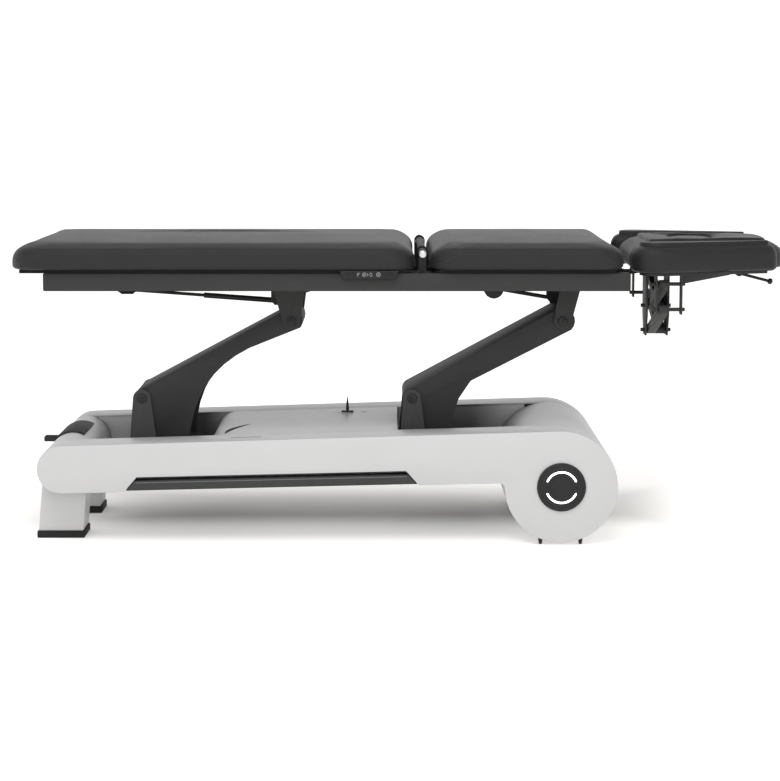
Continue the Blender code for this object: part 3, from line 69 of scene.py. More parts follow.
# %% A socket with operators
class Wire:
    """An output socket: arithmetic on it adds Math nodes, and add() makes any other node."""

    def __init__(self, tree, socket):
        self.tree = tree
        self.socket = socket

    def add(self, kind, settings=None, inputs=None, out=0):
        """A new node from its type, its settings, and the values or wires of its inputs."""
        node = self.tree.nodes.new(kind)
        for key, value in (settings or {}).items():
            setattr(node, key, value)
        for key, value in (inputs or {}).items():
            if isinstance(value, Wire):
                self.tree.links.new(value.socket, node.inputs[key])
            else:
                node.inputs[key].default_value = value
        return Wire(self.tree, node.outputs[out])

    def maths(self, operation, first, second=0.0):
        return self.add("ShaderNodeMath", {"operation": operation}, {0: first, 1: second})

    def __add__(self, other):
        return self.maths("ADD", self, other)

    def __sub__(self, other):
        return self.maths("SUBTRACT", self, other)

    def __rsub__(self, other):
        return self.maths("SUBTRACT", other, self)

    def __mul__(self, other):
        return self.maths("MULTIPLY", self, other)

    def __abs__(self):
        return self.maths("ABSOLUTE", self)

    __radd__ = __add__
    __rmul__ = __mul__

    def smooth(self, low, high):
        """0 below low, 1 above high, with a soft step between."""
        return self.add("ShaderNodeMapRange", {"interpolation_type": "SMOOTHSTEP"},
                        {"Value": self, "From Min": low, "From Max": high})

    def axis(self, name):
        """One component of a vector wire."""
        return self.add("ShaderNodeSeparateXYZ", None, {0: self}, "XYZ".index(name))

    def scaled(self, x, y, z):
        """The coordinates stretched along each axis."""
        return self.add("ShaderNodeMapping", None, {"Vector": self, "Scale": (x, y, z)})

    def noise(self, scale, detail=2.0, roughness=0.5):
        return self.add("ShaderNodeTexNoise", None,
                        {"Vector": self, "Scale": scale, "Detail": detail, "Roughness": roughness})

    def cells(self, scale, feature="F1"):
        return self.add("ShaderNodeTexVoronoi", {"feature": feature}, {"Vector": self, "Scale": scale})

    def between(self, first, second):
        """A colour from first, a shade or a wire, to the shade second as this value goes from 0 to 1."""
        first = first if isinstance(first, Wire) else (*first, 1.0)
        return self.add("ShaderNodeMix", {"data_type": "RGBA"}, {0: self, 6: first, 7: (*second, 1.0)}, 2)


def finish(name, **constants):
    """A new material, its Principled shader with constant sockets set, and its Object coordinates."""
    made = bpy.data.materials.new(name)
    made.use_nodes = True
    tree = made.node_tree
    shader = tree.nodes["Principled BSDF"]
    for socket, value in constants.items():
        shader.inputs[socket.replace("_", " ")].default_value = value
    where = Wire(tree, tree.nodes.new("ShaderNodeTexCoord").outputs["Object"])
    return made, shader, where


def feed(shader, socket, wire):
    wire.tree.links.new(wire.socket, shader.inputs[socket])


def emboss(shader, height, distance, strength):
    """Turns a height pattern, in shares of the distance, into bumps on the surface."""
    feed(shader, "Normal", height.add("ShaderNodeBump", None,
                                      {"Height": height, "Distance": distance, "Strength": strength}))


print("shader wrapper ready")

# %% [markdown]
# ## White covers
# The covers are white moulded plastic with a faint ripple, scuffed near the floor, and painted shade makes
# them dark in the wells beside the towers. One flat colour would do from afar, but close views and moving
# light show the missing texture, so the tone comes from noise, and the painted shade from ramps along the
# axes.

# %% White cover
FINISHES = {}
SCUFF_HEIGHTS = (0.02, 0.12)
# The next three lines set the painted shade in the wells beside the towers: its ramps along X, its reach in Y
# and its colour.
FOOT_SHADE_RAMP, HEAD_SHADE_RAMP = (-0.76, -0.74, -0.575, -0.47), (0.02, 0.04, 0.18, 0.33)
SHADE_WALL_Y = (0.2005, 0.203)
WELL_PAINTED_SHADE = (0.075, 0.075, 0.076)


def white_cover():
    """Mottle from slow noise, plus scuffs that fade out between 2 and 12 cm above the floor. Between the
    side covers the wells of the two towers get painted shade, which fades out along X."""
    made, shader, where = finish("white_cover", Specular_IOR_Level=0.4)
    ripple = where.noise(160, 2.0)
    low_down = 1 - where.axis("Z").smooth(*SCUFF_HEIGHTS)
    scuff = where.scaled(1, 1, 5).noise(42, 4.0, 0.7).smooth(0.55, 0.75) * low_down
    tone = where.noise(3.0, 3.0) * 0.6 + 0.4 - scuff * 0.5
    along = where.axis("X")
    # Painted shade: the cover is darkened in the wells beside the towers, fading out along X.
    painted_shade_in_wells = along.smooth(*FOOT_SHADE_RAMP[:2]) - along.smooth(*FOOT_SHADE_RAMP[2:])
    painted_shade_in_wells = painted_shade_in_wells + along.smooth(*HEAD_SHADE_RAMP[:2]) - along.smooth(*HEAD_SHADE_RAMP[2:])
    painted_shade_in_wells = painted_shade_in_wells * (1 - abs(where.axis("Y")).smooth(*SHADE_WALL_Y))
    white = tone.between((0.440, 0.440, 0.441), (0.500, 0.501, 0.504))
    feed(shader, "Base Color", painted_shade_in_wells.between(white, WELL_PAINTED_SHADE))
    feed(shader, "Roughness", 0.32 + 0.10 * where.noise(28, 3.0) + 0.15 * scuff)
    emboss(shader, ripple, 0.0004, 0.12)
    return made


FINISHES["white_cover"] = white_cover()
print("white cover ready")

# %% [markdown]
# ## Coats, plastics, rubber and metal
# The arms and rails are powder coated, which leaves a fine sandy skin. Boards, plastics, rubber and ground
# rods each have a small pattern of their own. Each could be wired by itself, but finishes of one kind differ
# only in tone and grain, so one function makes them all.


# %% Coats, plastics, rubber and metal
def powder_coat(name, dark, light, roughness):
    """A sandy skin from fine noise, over patches of slightly different tone."""
    made, shader, where = finish(name, Specular_IOR_Level=0.16)
    sand = where.noise(1300, 2.0)
    patch = where.noise(9, 3.0)
    feed(shader, "Base Color", patch.between(dark, light))
    feed(shader, "Roughness", roughness + 0.14 * sand)
    emboss(shader, sand, 0.0004, 0.35)
    return made


def grained_plastic(name, dark, light, roughness, scale):
    """Moulded grain: small cells, as many to the metre as the scale says, make the pits."""
    made, shader, where = finish(name, Specular_IOR_Level=0.3)
    pits = where.cells(scale)
    feed(shader, "Base Color", where.noise(14, 3.0).between(dark, light))
    feed(shader, "Roughness", roughness + 0.15 * pits)
    emboss(shader, pits, 0.0003, 0.4)
    return made


def ribbed_rubber(name, dark, light, pitch):
    """Ribs across the piece: a sine of Y over the pitch, flattened, with grit between them."""
    made, shader, where = finish(name, Specular_IOR_Level=0.3)
    across = where.axis("Y")
    rib = across.maths("SINE", across * (2 * math.pi / pitch)).smooth(-0.4, 0.4)
    feed(shader, "Base Color", (rib * 0.7 + where.noise(60, 3.0) * 0.3).between(dark, light))
    feed(shader, "Roughness", 0.75 - 0.2 * rib)
    emboss(shader, rib + where.noise(900, 2.0) * 0.2, 0.0009, 0.8)
    return made


def ground_steel():
    """Metal with streaks along X, from noise stretched in that direction."""
    made, shader, where = finish("bright_steel", Metallic=1.0)
    streak = where.scaled(6, 900, 900).noise(1.0, 3.0)
    feed(shader, "Base Color", streak.between((0.42, 0.42, 0.43), (0.66, 0.66, 0.67)))
    feed(shader, "Roughness", 0.18 + 0.16 * streak)
    return made


def painted_board():
    """Black paint over wood, whose stretched grain still shows a little."""
    made, shader, where = finish("black_board", Specular_IOR_Level=0.12)
    grain = where.scaled(8, 220, 220).noise(1.0, 4.0, 0.6)
    feed(shader, "Base Color", grain.between((0.006, 0.006, 0.006), (0.012, 0.0115, 0.011)))
    feed(shader, "Roughness", 0.5 + 0.25 * grain)
    emboss(shader, grain, 0.0005, 0.3)
    return made


def light_guide():
    """A milky plastic that glows, a little unevenly."""
    made, shader, where = finish("light_guide", Emission_Strength=3.0)
    haze = where.noise(220, 2.0)
    feed(shader, "Base Color", haze.between((0.88, 0.90, 0.92), (0.97, 0.98, 1.0)))
    feed(shader, "Emission Color", haze.between((0.86, 0.94, 1.0), (1.0, 1.0, 1.0)))
    feed(shader, "Roughness", 0.3 + 0.1 * haze)
    return made


FINISHES["dark_steel"] = powder_coat("dark_steel", (0.030, 0.030, 0.030), (0.036, 0.036, 0.036), 0.50)
# The towers get the arms' powder coat painted lighter, standing in for light on their faces, which lie in
# shade.
FINISHES["tower_steel_painted_lighter"] = powder_coat("tower_steel_painted_lighter", (0.042, 0.042, 0.042), (0.050, 0.050, 0.050), 0.50)
GRAINED_PLASTICS = (("black_plastic", (0.009, 0.009, 0.0095), (0.015, 0.015, 0.015), 0.45, 900),
                    ("rubber", (0.008, 0.008, 0.008), (0.017, 0.016, 0.016), 0.70, 500),
                    ("panel_gloss", (0.006, 0.006, 0.007), (0.009, 0.009, 0.010), 0.08, 60),
                    ("kick_rubber", (0.026, 0.028, 0.027), (0.036, 0.038, 0.037), 0.50, 700),
                    # This row is a pale grey that paints a highlight along the foot bars' upper edge.
                    ("kick_painted_highlight", (0.10, 0.102, 0.10), (0.13, 0.132, 0.13), 0.40, 700),
                    ("panel_print", (0.30, 0.31, 0.31), (0.42, 0.43, 0.43), 0.50, 900),
                    # The last row is near-black for the sensor dots, and painted shade in the slots drawn as
                    # strips.
                    ("sensor_black_and_painted_slot_shade", (0.006, 0.006, 0.006), (0.012, 0.012, 0.012), 0.65, 300))
for plastic in GRAINED_PLASTICS:
    FINISHES[plastic[0]] = grained_plastic(*plastic)
FINISHES["grip_rubber"] = ribbed_rubber("grip_rubber", (0.010, 0.010, 0.010), (0.026, 0.026, 0.026), 0.006)
FINISHES["bright_steel"] = ground_steel()
FINISHES["black_board"] = painted_board()
FINISHES["light_guide"] = light_guide()
print("finishes:", ", ".join(FINISHES))

# %% [markdown]
# ## Leatherette
# The cushions are covered in dark grey leatherette. Its grain is a net of tiny cells, finer than a
# millimetre and a half, over slow unevenness of the foam. A real hide scan would need an image, so the
# cells come from a Voronoi pattern. The side seam is a shallow groove at one height with a row of
# stitches along it, drawn by height, so that it stays level along each side and sinks at the ends. Near the
# seam the pulled thread puckers the cover a little.

# %% Leatherette with a seam
STITCH_PITCH = 0.0065
STITCH_GAP = 0.0045
SEAM_HALF = 0.0016
END_SINK = 0.028
END_FADE = (0.01, 0.09)
LEATHER_DARK, LEATHER_LIGHT = (0.0085, 0.0085, 0.0088), (0.0135, 0.0135, 0.0139)
THREAD = (0.035, 0.035, 0.036)


def leatherette(name, seam_z, span):
    """Leather grain plus, at the height seam_z, a groove and a row of stitches just under it. Towards the
    ends of the span in X the seam sinks by END_SINK, where the cushion's roll is wider. A seam_z below the
    piece leaves the seam out."""
    made, shader, where = finish(name, Specular_IOR_Level=0.28, Sheen_Weight=0.05, Sheen_Roughness=0.4)
    pores = where.cells(820, "DISTANCE_TO_EDGE")
    creases = where.cells(300, "DISTANCE_TO_EDGE").smooth(0.0, 0.12)
    foam = where.noise(7, 3.0)
    inner = where.axis("X").smooth(span[0] + END_FADE[0], span[0] + END_FADE[1])
    inner = inner * (1 - where.axis("X").smooth(span[1] - END_FADE[1], span[1] - END_FADE[0]))
    height = where.axis("Z") + (1 - inner) * END_SINK
    groove = 1 - abs(height - seam_z).smooth(SEAM_HALF * 0.3, SEAM_HALF)
    along = where.axis("X") + where.axis("Y")
    dash = along.maths("SINE", along * (2 * math.pi / STITCH_PITCH)).smooth(-0.5, 0.2)
    row = (1 - abs(height - (seam_z - STITCH_GAP)).smooth(0.0003, 0.0009)) * dash
    hide = foam.between(LEATHER_DARK, LEATHER_LIGHT)
    feed(shader, "Base Color", (row * 0.6).between(hide, THREAD))
    feed(shader, "Roughness", 0.40 + 0.12 * foam + 0.10 * (1 - creases))
    near_seam = 1 - abs(height - seam_z).smooth(0.002, 0.014)
    pucker = where.scaled(1, 1, 0.12).noise(85, 2.0) * near_seam
    grain = pores.smooth(0.0, 0.25) * 0.25 + creases * 0.15 + foam * 0.3
    emboss(shader, grain - groove + row * 0.35 + pucker * 0.6, 0.0007, 0.55)
    return made


print("leatherette ready")

# %% [markdown]
# ## Rigid pieces
# A solid from CAD has perfectly sharp edges, and real covers, tubes and plates don't. Each rigid node is
# copied, its loose triangles are merged, its flat areas become single faces, and its sharp edges get a
# small round that catches the light. Remodelling each one would risk changing a size.

# %% Soften the CAD solids
MERGE_DISTANCE = 1e-5
FLAT_ANGLE, EDGE_ANGLE, SHADE_ANGLE = math.radians(0.6), math.radians(38), math.radians(32)


def softened(name, width):
    """Copy of a CAD node with merged vertices, whole flat faces and its edges rounded by width."""
    bm = bmesh.new()
    bm.from_mesh(nodes[name].data)
    bmesh.ops.remove_doubles(bm, verts=bm.verts, dist=MERGE_DISTANCE)
    bmesh.ops.dissolve_limit(bm, angle_limit=FLAT_ANGLE, verts=bm.verts, edges=bm.edges)
    sharp = [e for e in bm.edges if len(e.link_faces) == 2 and e.calc_face_angle() > EDGE_ANGLE]
    bmesh.ops.bevel(bm, geom=sharp, offset=width, segments=2, profile=0.5, affect="EDGES", clamp_overlap=True)
    mesh = bpy.data.meshes.new("soft_" + name)
    bm.to_mesh(mesh)
    bm.free()
    mesh.shade_smooth()
    mesh.set_sharp_from_angle(angle=SHADE_ANGLE)
    return mesh


def show(name, mesh, body, *stands_for, slot, look=None):
    """Adds a finished mesh as a piece on a body, with its finish, in place of CAD nodes."""
    piece = bpy.data.objects.new(name, mesh)
    bpy.context.scene.collection.objects.link(piece)
    mesh.materials.clear()
    mesh.materials.append(look or FINISHES[slot])
    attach(piece, body)
    if stands_for:
        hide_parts(*stands_for)
    return piece


SOFT_NODES = ("leg_pad", "back_pad", "head_pad", "face_plug", "armrest_pad_near", "armrest_pad_far")
SPECIAL_LOOKS = {"kick_bar_near": "kick_rubber", "kick_bar_far": "kick_rubber",
                 "foot_end_plate": "grip_rubber", "foot_pedal": "grip_rubber",
                 "control_panel": "black_plastic", "leg_spring_rod": "black_plastic",
                 "back_actuator_rod": "black_plastic",
                 # The towers' look is the lighter copy of the arms' coat: painted light.
                 "tower_foot": "tower_steel_painted_lighter", "tower_head": "tower_steel_painted_lighter"}
REMADE_NODES = ("deck_lever", "hub_disc_near", "hub_disc_far", "light_arc_upper_near", "light_arc_upper_far",
                "light_arc_lower_near", "light_arc_lower_far")
EDGE_ROUND = {"side_cover_near": 0.0008, "side_cover_far": 0.0008, "foot_arm": 0.0035, "head_arm": 0.0035,
              "deck_cover": 0.0015, "foot_block_near": 0.004, "foot_block_far": 0.004}
DEFAULT_ROUND = 0.0011

for name in sorted(nodes):
    if name in SOFT_NODES or name in REMADE_NODES:
        continue
    mesh = softened(name, EDGE_ROUND.get(name, DEFAULT_ROUND))
    look = FINISHES[SPECIAL_LOOKS.get(name, slot_of[name])]
    show("shown_" + name, mesh, body_of[name], name, slot=slot_of[name], look=look)
print("rigid pieces:", len(nodes) - len(SOFT_NODES) - len(REMADE_NODES))

# %% [markdown]
# ## Surfaces from two parameters
# Every new piece is a grid of points: rings that follow an outline, stacked along a profile. Working
# on whole arrays keeps the code short, and the grid's rows and columns give the faces directly. Blender's
# own primitives could be pushed into shape, but their sizes would no longer follow the frame.

# %% Grids into meshes
GRID_ANGLE = math.radians(50)
OFF_AXIS = (0.3, 0.5, 0.8)


def grid_mesh(name, rings):
    """Mesh over rings[m, n, 3]: each face joins two neighbours on a ring to the next ring, and one flat face
    closes each end."""
    rings = np.asarray(rings, float)
    rows, count = rings.shape[:2]
    row = np.arange(rows - 1)[:, None] * count
    column = np.arange(count)[None, :]
    after = (column + 1) % count
    corners = (row + column, row + after, row + count + after, row + count + column)
    faces = np.stack(np.broadcast_arrays(*corners), -1).reshape(-1, 4).tolist()
    faces.append(list(range(count))[::-1])
    faces.append(list(range((rows - 1) * count, rows * count)))
    mesh = bpy.data.meshes.new(name)
    mesh.from_pydata(rings.reshape(-1, 3), [], faces)
    bm = bmesh.new()
    bm.from_mesh(mesh)
    bmesh.ops.recalc_face_normals(bm, faces=bm.faces)
    bm.to_mesh(mesh)
    bm.free()
    mesh.shade_smooth()
    mesh.set_sharp_from_angle(angle=GRID_ANGLE)
    return mesh


def circle(direction, steps):
    """Angles t round a direction, and for each the unit vector cos t * side + sin t * other side."""
    side = np.cross(direction, OFF_AXIS)
    side /= np.linalg.norm(side)
    other = np.cross(direction, side)
    turn = np.linspace(0, 2 * math.pi, steps, endpoint=False)
    return turn, np.cos(turn)[:, None] * side + np.sin(turn)[:, None] * other


def turned(name, profile, centre, direction, steps):
    """Surface of revolution: profile (radius, distance) swept round a direction from the centre. A point
    is centre + direction * distance + radius * the unit vector at its angle."""
    direction = np.asarray(direction, float)
    profile = np.asarray(profile, float)
    around = circle(direction, steps)[1]
    rings = profile[:, 0, None, None] * around[None] + profile[:, 1, None, None] * direction
    return grid_mesh(name, rings + np.asarray(centre, float))


print("grid and turning helpers ready")

# %% [markdown]
# ## Outlines with round corners
# Cushions, plugs and the panel's face all have straight sides and round corners. A bevelled box would give
# them too, but here each side may move in by its own amount, so one helper serves for rolled edges as well.

# %% Rounded outlines
LEAST_RADIUS = 0.0015


def rounded_ring(corners, radii, inset, draw=0.0, corner_steps=10, side_steps=24):
    """Outline of a convex polygon with round corners, moved in by inset: one number, or one for each side.
    Between the corners the side bends in by draw * 4t(1 - t), as a sewn cover does."""
    corners = np.asarray(corners, float)
    inset = np.broadcast_to(np.asarray(inset, float), len(corners))
    inset_before = np.roll(inset, 1)
    way = np.roll(corners, -1, 0) - corners
    way /= np.linalg.norm(way, axis=1)[:, None]
    inward = np.stack([-way[:, 1], way[:, 0]], 1)
    before, inward_before = np.roll(way, 1, 0), np.roll(inward, 1, 0)
    turn = np.arccos(np.clip((before * way).sum(1), -1, 1))
    both_insets = np.stack([inset_before, inset], 1)[..., None]
    tips = corners + np.linalg.solve(np.stack([inward_before, inward], 1), both_insets)[..., 0]
    radius = np.maximum(np.asarray(radii, float) - (inset + inset_before) / 2, LEAST_RADIUS)
    centres = tips - before * (radius * np.tan(turn / 2))[:, None] + inward_before * radius[:, None]
    start = np.arctan2(-inward_before[:, 1], -inward_before[:, 0])
    angle = start[:, None] + turn[:, None] * np.linspace(0, 1, corner_steps + 1)
    arcs = centres[:, None] + radius[:, None, None] * np.stack([np.cos(angle), np.sin(angle)], -1)
    t = np.linspace(0, 1, side_steps + 1)[1:-1]
    begin, end = arcs[:, -1], np.roll(arcs[:, 0], -1, 0)
    sides = begin[:, None] + (end - begin)[:, None] * t[None, :, None]
    sides = sides + inward[:, None] * (draw * 4 * t * (1 - t))[None, :, None]
    return np.concatenate([arcs, sides], 1).reshape(-1, 2)


print("outline helper ready")

# %% [markdown]
# ## Cushions
# Each cushion is foam on a board under a tight cover: flat below, upright at the side, with a wide
# rolled edge at the top and a slight crown. It could be one subdivided box, but its corners would look like
# a pillow's, so the form comes from a profile carried round the outline.

# %% Cushion form
BASE_ROUND = 0.010
PAD_CORNER = 0.070
END_ROLL = (0.046, 0.062)
SIDE_ROLL = (0.020, 0.095)
ROLL_SHARE = 0.995
CROWN = 0.010
CROWN_GAP = 0.025
START_INSET = 0.002
START_RISE = 0.002
SIDE_DRAW = 0.003
SEAM_BELOW = 0.001


def rolled(height, top, roll):
    """Inset of a rolled edge at each height: a quarter of an ellipse that ends at top, with the rise and the
    reach of the roll. The inset is reach * (1 - sqrt(1 - u * u)), u being the share of the rise passed."""
    rise, reach = roll
    u = np.clip((height - top) / rise + 1, 0, ROLL_SHARE)
    return reach * (1 - np.sqrt(1 - u * u))


def cushion_mesh(name, corners, radii, low, high, ends=END_ROLL, sides=SIDE_ROLL, spread=None):
    """Rings from the flat base up the side, over the rolled edge and along the crown. Sides 0 and 2 of the
    outline get the roll of the sides, and 1 and 3 the roll of the ends. The crown's rings go on inwards by
    spread. Without a spread they go nearly to the middle, and the crown is a dome: its height is CROWN times
    the product of 1 - (1 - u)^2 for u the share of the way to the middle along X and along Y."""
    domed = spread is None
    half = np.ptp(corners, axis=0) / 2
    if domed:
        spread = (half - (ends[1], sides[1])).min() - CROWN_GAP
    thick = high - low + START_RISE
    top = thick - CROWN
    a = np.linspace(0, math.pi / 2, 6)
    bend = np.sin(np.linspace(0, math.pi / 2, 10)[:-1])
    height = np.concatenate([BASE_ROUND * (1 - np.cos(a)), np.linspace(BASE_ROUND, top - ends[0], 4)[1:-1],
                             top + ends[0] * (bend - 1), top + sides[0] * (bend - 1), [top]])
    height = np.unique(np.round(height, 4))
    base = np.clip(1 - height / BASE_ROUND, 0, 1)
    inset = START_INSET + BASE_ROUND * (1 - np.sqrt(1 - base * base))
    inset = np.stack([inset + rolled(height, top, sides), inset + rolled(height, top, ends)] * 2, 1)
    draw = SIDE_DRAW * np.clip(1 - inset[:, 0] / sides[1], 0, 1)
    share = np.linspace(0, 1, 9)[1:]
    inset = np.concatenate([inset, inset[-1] + spread * share[:, None]])
    height = np.concatenate([height, top + CROWN * (1 - (1 - share) ** 2)])
    draw = np.concatenate([draw, 0 * share])
    rings = []
    for step_in, step_up, step_draw in zip(inset, height, draw):
        flat = rounded_ring(corners, radii, step_in, step_draw)
        rings.append(np.column_stack([flat, np.full(len(flat), low + step_up)]))
    rings = np.array(rings)
    if domed:
        crown = rings[-len(share):]
        edge = inset[-len(share) - 1, 1::-1]
        inside = half - np.abs(crown[..., :2] - np.mean(corners, axis=0)) - edge
        u = np.clip(inside / (half - edge), 0, 1)
        crown[..., 2] = low + top + CROWN * (1 - (1 - u) ** 2).prod(-1)
    return grid_mesh(name, rings)


def seam_height(high, sides=SIDE_ROLL):
    """Height just below the rolled edge of a side, for a cushion whose top is at high."""
    return high + START_RISE - CROWN - sides[0] - SEAM_BELOW


print("cushion form ready")

# %% [markdown]
# ## Inflating a cover
# A new cover is pulled tight over the foam, and its sides belly out by millimetres. That could be drawn into
# the profile, but it changes along each side and fades at the corners. The cloth solver finds it instead: it
# blows up a coarse copy, and the fine form follows.

# %% Cloth inflation
CLOTH_STEPS = 12
CLOTH_NEAREST = 12
CLOTH_PRESSURE = 4.0
CLOTH_STIFFNESS = 40
HELD_SHARE = 0.6


def applied(piece):
    """Makes the piece's modifiers real in its mesh."""
    graph = bpy.context.evaluated_depsgraph_get()
    mesh = bpy.data.meshes.new_from_object(piece.evaluated_get(graph))
    piece.modifiers.clear()
    old = piece.data
    piece.data = mesh
    bpy.data.meshes.remove(old)


def places(mesh, what="co"):
    """The points of a mesh, or the normals there, as one array."""
    flat = np.empty(len(mesh.vertices) * 3)
    mesh.vertices.foreach_get(what, flat)
    return flat.reshape(-1, 3)


def inflate(mesh, voxel, most, low):
    """Blows up an evenly remeshed copy of a closed form with the cloth solver, its underside held. The form
    follows: each of its points moves outwards with the mean of the nearest cloth points, up to most."""
    piece = bpy.data.objects.new("inflating", mesh.copy())
    bpy.context.scene.collection.objects.link(piece)
    remesh = piece.modifiers.new("even", "REMESH")
    remesh.mode = "VOXEL"
    remesh.voxel_size = voxel
    applied(piece)
    start = places(piece.data)
    normals = places(piece.data, "normal")
    held = piece.vertex_groups.new(name="held")
    held.add(np.flatnonzero(start[:, 2] < low + voxel * HELD_SHARE).tolist(), 1.0, "REPLACE")
    cloth = piece.modifiers.new("cover", "CLOTH")
    cloth.settings.use_pressure = True
    cloth.settings.uniform_pressure_force = CLOTH_PRESSURE
    cloth.settings.vertex_group_mass = "held"
    cloth.settings.tension_stiffness = CLOTH_STIFFNESS
    cloth.settings.compression_stiffness = CLOTH_STIFFNESS
    cloth.settings.effector_weights.gravity = 0.0
    cloth.collision_settings.use_collision = False
    scene = bpy.context.scene
    for step in range(1, CLOTH_STEPS + 1):
        scene.frame_set(step)
    graph = bpy.context.evaluated_depsgraph_get()
    move = places(piece.evaluated_get(graph).to_mesh()) - start
    scene.frame_set(1)
    bpy.data.objects.remove(piece)
    outward = np.clip((move * normals).sum(1), 0, most)
    move = normals * outward[:, None]
    tree = KDTree(len(start))
    for index, point in enumerate(start):
        tree.insert(point, index)
    tree.balance()
    points = places(mesh)
    carried = [move[[found[1] for found in tree.find_n(point, CLOTH_NEAREST)]].mean(0) for point in points]
    mesh.vertices.foreach_set("co", (points + carried).ravel())
    mesh.update()
    print("  inflated", len(start), "points by", round(float(outward.mean()) * 1000, 1), "mm on average")
    return mesh


print("inflation ready")

# %% [markdown]
# ## Leg and back cushions
# The two large cushions are plain rectangles, one on each side of the hinge. They could be one mesh with a
# fold, but on the real table they are two cushions that turn on their own boards, so each rides its own body.

# %% Leg and back cushions
LARGE_COVER, SMALL_COVER = (0.010, 0.004), (0.006, 0.003)


def rectangle(node):
    """Corner points of a node's box, seen from above."""
    low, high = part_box(node)
    return [(low.x, low.y), (high.x, low.y), (high.x, high.y), (low.x, high.y)]


def padded_piece(name, mesh, body, node, cover, seam_z):
    """Inflates a cushion and shows it with its own leatherette. The cover is the cloth's grid size and the
    most it may swell."""
    low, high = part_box(node)
    mesh = inflate(mesh, *cover, low.z)
    look = leatherette(name + "_cover", seam_z, (low.x, high.x))
    piece = show(name, mesh, body, node, slot="leather", look=look)


for name, body in (("leg_pad", "leg_section"), ("back_pad", "back_section")):
    low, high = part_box(name)
    form = cushion_mesh(name, rectangle(name), [PAD_CORNER] * 4, low.z, high.z)
    padded_piece("cushion_" + name, form, body, name, LARGE_COVER, seam_height(high.z))
print("large cushions made")

# %% [markdown]
# ## Head cushion and face plug
# The head cushion narrows towards its end and has a face opening, closed by a plug of the same foam. The
# opening is cut from the form before the cover is inflated, so that the cover swells round its rim too.
# It could be left as a painted line, but the plug lifts out.

# %% Head cushion and plug
HEAD_HALF, HEAD_END_HALF, HEAD_END_CORNER = 0.195, 0.130, 0.080
HEAD_ENDS, HEAD_SIDES, HEAD_SPREAD = (0.044, 0.055), (0.020, 0.050), 0.007
PLUG_CORNER = 0.058
PLUG_GAP = 0.0022
TOOL_REACH = 0.02
NO_SEAM = 0.1
PLUG_PROFILE = ((0.004, 0.0), (0.0, 0.004), (0.0, 0.060), (0.0012, 0.0655), (0.004, 0.0695), (0.009, 0.0722),
                (0.020, 0.0738), (0.045, 0.0745))
head_low, head_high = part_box("head_pad")
head_corners = [(head_low.x, -HEAD_HALF), (head_high.x, -HEAD_END_HALF), (head_high.x, HEAD_END_HALF),
                (head_low.x, HEAD_HALF)]
head_form = cushion_mesh("head_pad", head_corners, [PAD_CORNER, HEAD_END_CORNER, HEAD_END_CORNER, PAD_CORNER],
                         head_low.z, head_high.z, HEAD_ENDS, HEAD_SIDES, HEAD_SPREAD)
plug_low, plug_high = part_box("face_plug")


def plug_ring(inset, z):
    """The plug's outline at the height z, moved in by inset."""
    flat = rounded_ring(rectangle("face_plug"), [PLUG_CORNER] * 4, inset, 0.0, 14, 8)
    return np.column_stack([flat, np.full(len(flat), z)])


def pierced(mesh):
    """The head cushion with its face opening cut through."""
    tool_rings = [plug_ring(-PLUG_GAP, z) for z in (head_low.z - TOOL_REACH, head_high.z + TOOL_REACH)]
    tool = bpy.data.objects.new("tool", grid_mesh("tool", tool_rings))
    piece = bpy.data.objects.new("piece", mesh)
    for item in (tool, piece):
        bpy.context.scene.collection.objects.link(item)
    step = piece.modifiers.new("opening", "BOOLEAN")
    step.operation = "DIFFERENCE"
    step.solver = "EXACT"
    step.object = tool
    applied(piece)
    done = piece.data
    for item in (tool, piece):
        bpy.data.objects.remove(item)
    done.shade_smooth()
    return done


head_seam = seam_height(head_high.z, HEAD_SIDES)
padded_piece("cushion_head", pierced(head_form), "head_section", "head_pad", SMALL_COVER, head_seam)
plug_form = grid_mesh("plug", [plug_ring(inset, plug_low.z + up) for inset, up in PLUG_PROFILE])
plug_look = leatherette("plug_cover", plug_low.z - NO_SEAM, (plug_low.x, plug_high.x))
plug = show("face_plug_cushion", plug_form, "face_plug", "face_plug", slot="leather", look=plug_look)
print("head cushion and plug made")

# %% [markdown]
# ## Armrests
# The armrests are narrow wedges beside the head cushion, with the same cover and no seam. The far one could
# be a mirror modifier on the near one, but each drops on its own links, so each is a piece of its own.

# %% Armrests
ARM_GAP = 0.008
ARM_END_HALF = 0.200
ARM_CORNERS = [PAD_CORNER, 0.030, 0.022, 0.022]
ARM_ENDS, ARM_SIDES, ARM_SPREAD = (0.034, 0.026), (0.020, 0.022), 0.002
TABLE_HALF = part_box("leg_pad")[1].y
head_slope = (HEAD_HALF - HEAD_END_HALF) / (head_high.x - head_low.x)
for side, mirror in (("near", 1), ("far", -1)):
    low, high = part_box("armrest_pad_" + side)
    inner_left = HEAD_HALF + ARM_GAP + head_slope * (head_low.x - low.x)
    inner_right = HEAD_HALF + ARM_GAP - head_slope * (high.x - head_low.x)
    corners = [(low.x, -TABLE_HALF), (high.x, -ARM_END_HALF), (high.x, -inner_right), (low.x, -inner_left)]
    form = cushion_mesh("armrest", corners, ARM_CORNERS, low.z, high.z, ARM_ENDS, ARM_SIDES, ARM_SPREAD)
    points = places(form) * (1, mirror, 1)
    form.vertices.foreach_set("co", points.ravel())
    if mirror < 0:
        form.flip_normals()
    padded_piece("cushion_armrest_" + side, form, "armrest_" + side, "armrest_pad_" + side, SMALL_COVER,
                 low.z - NO_SEAM)
print("armrests made")

# %% [markdown]
# ## Hub disc and light ring
# On the drum's outer face sits a black disc with a ring of light in two arcs. The disc is turned, with
# shallow rings like a machined cap. The arcs are a rounded bar carried along part of a circle. They could be
# a glowing texture on the disc, but a raised light guide catches its own edge highlights.

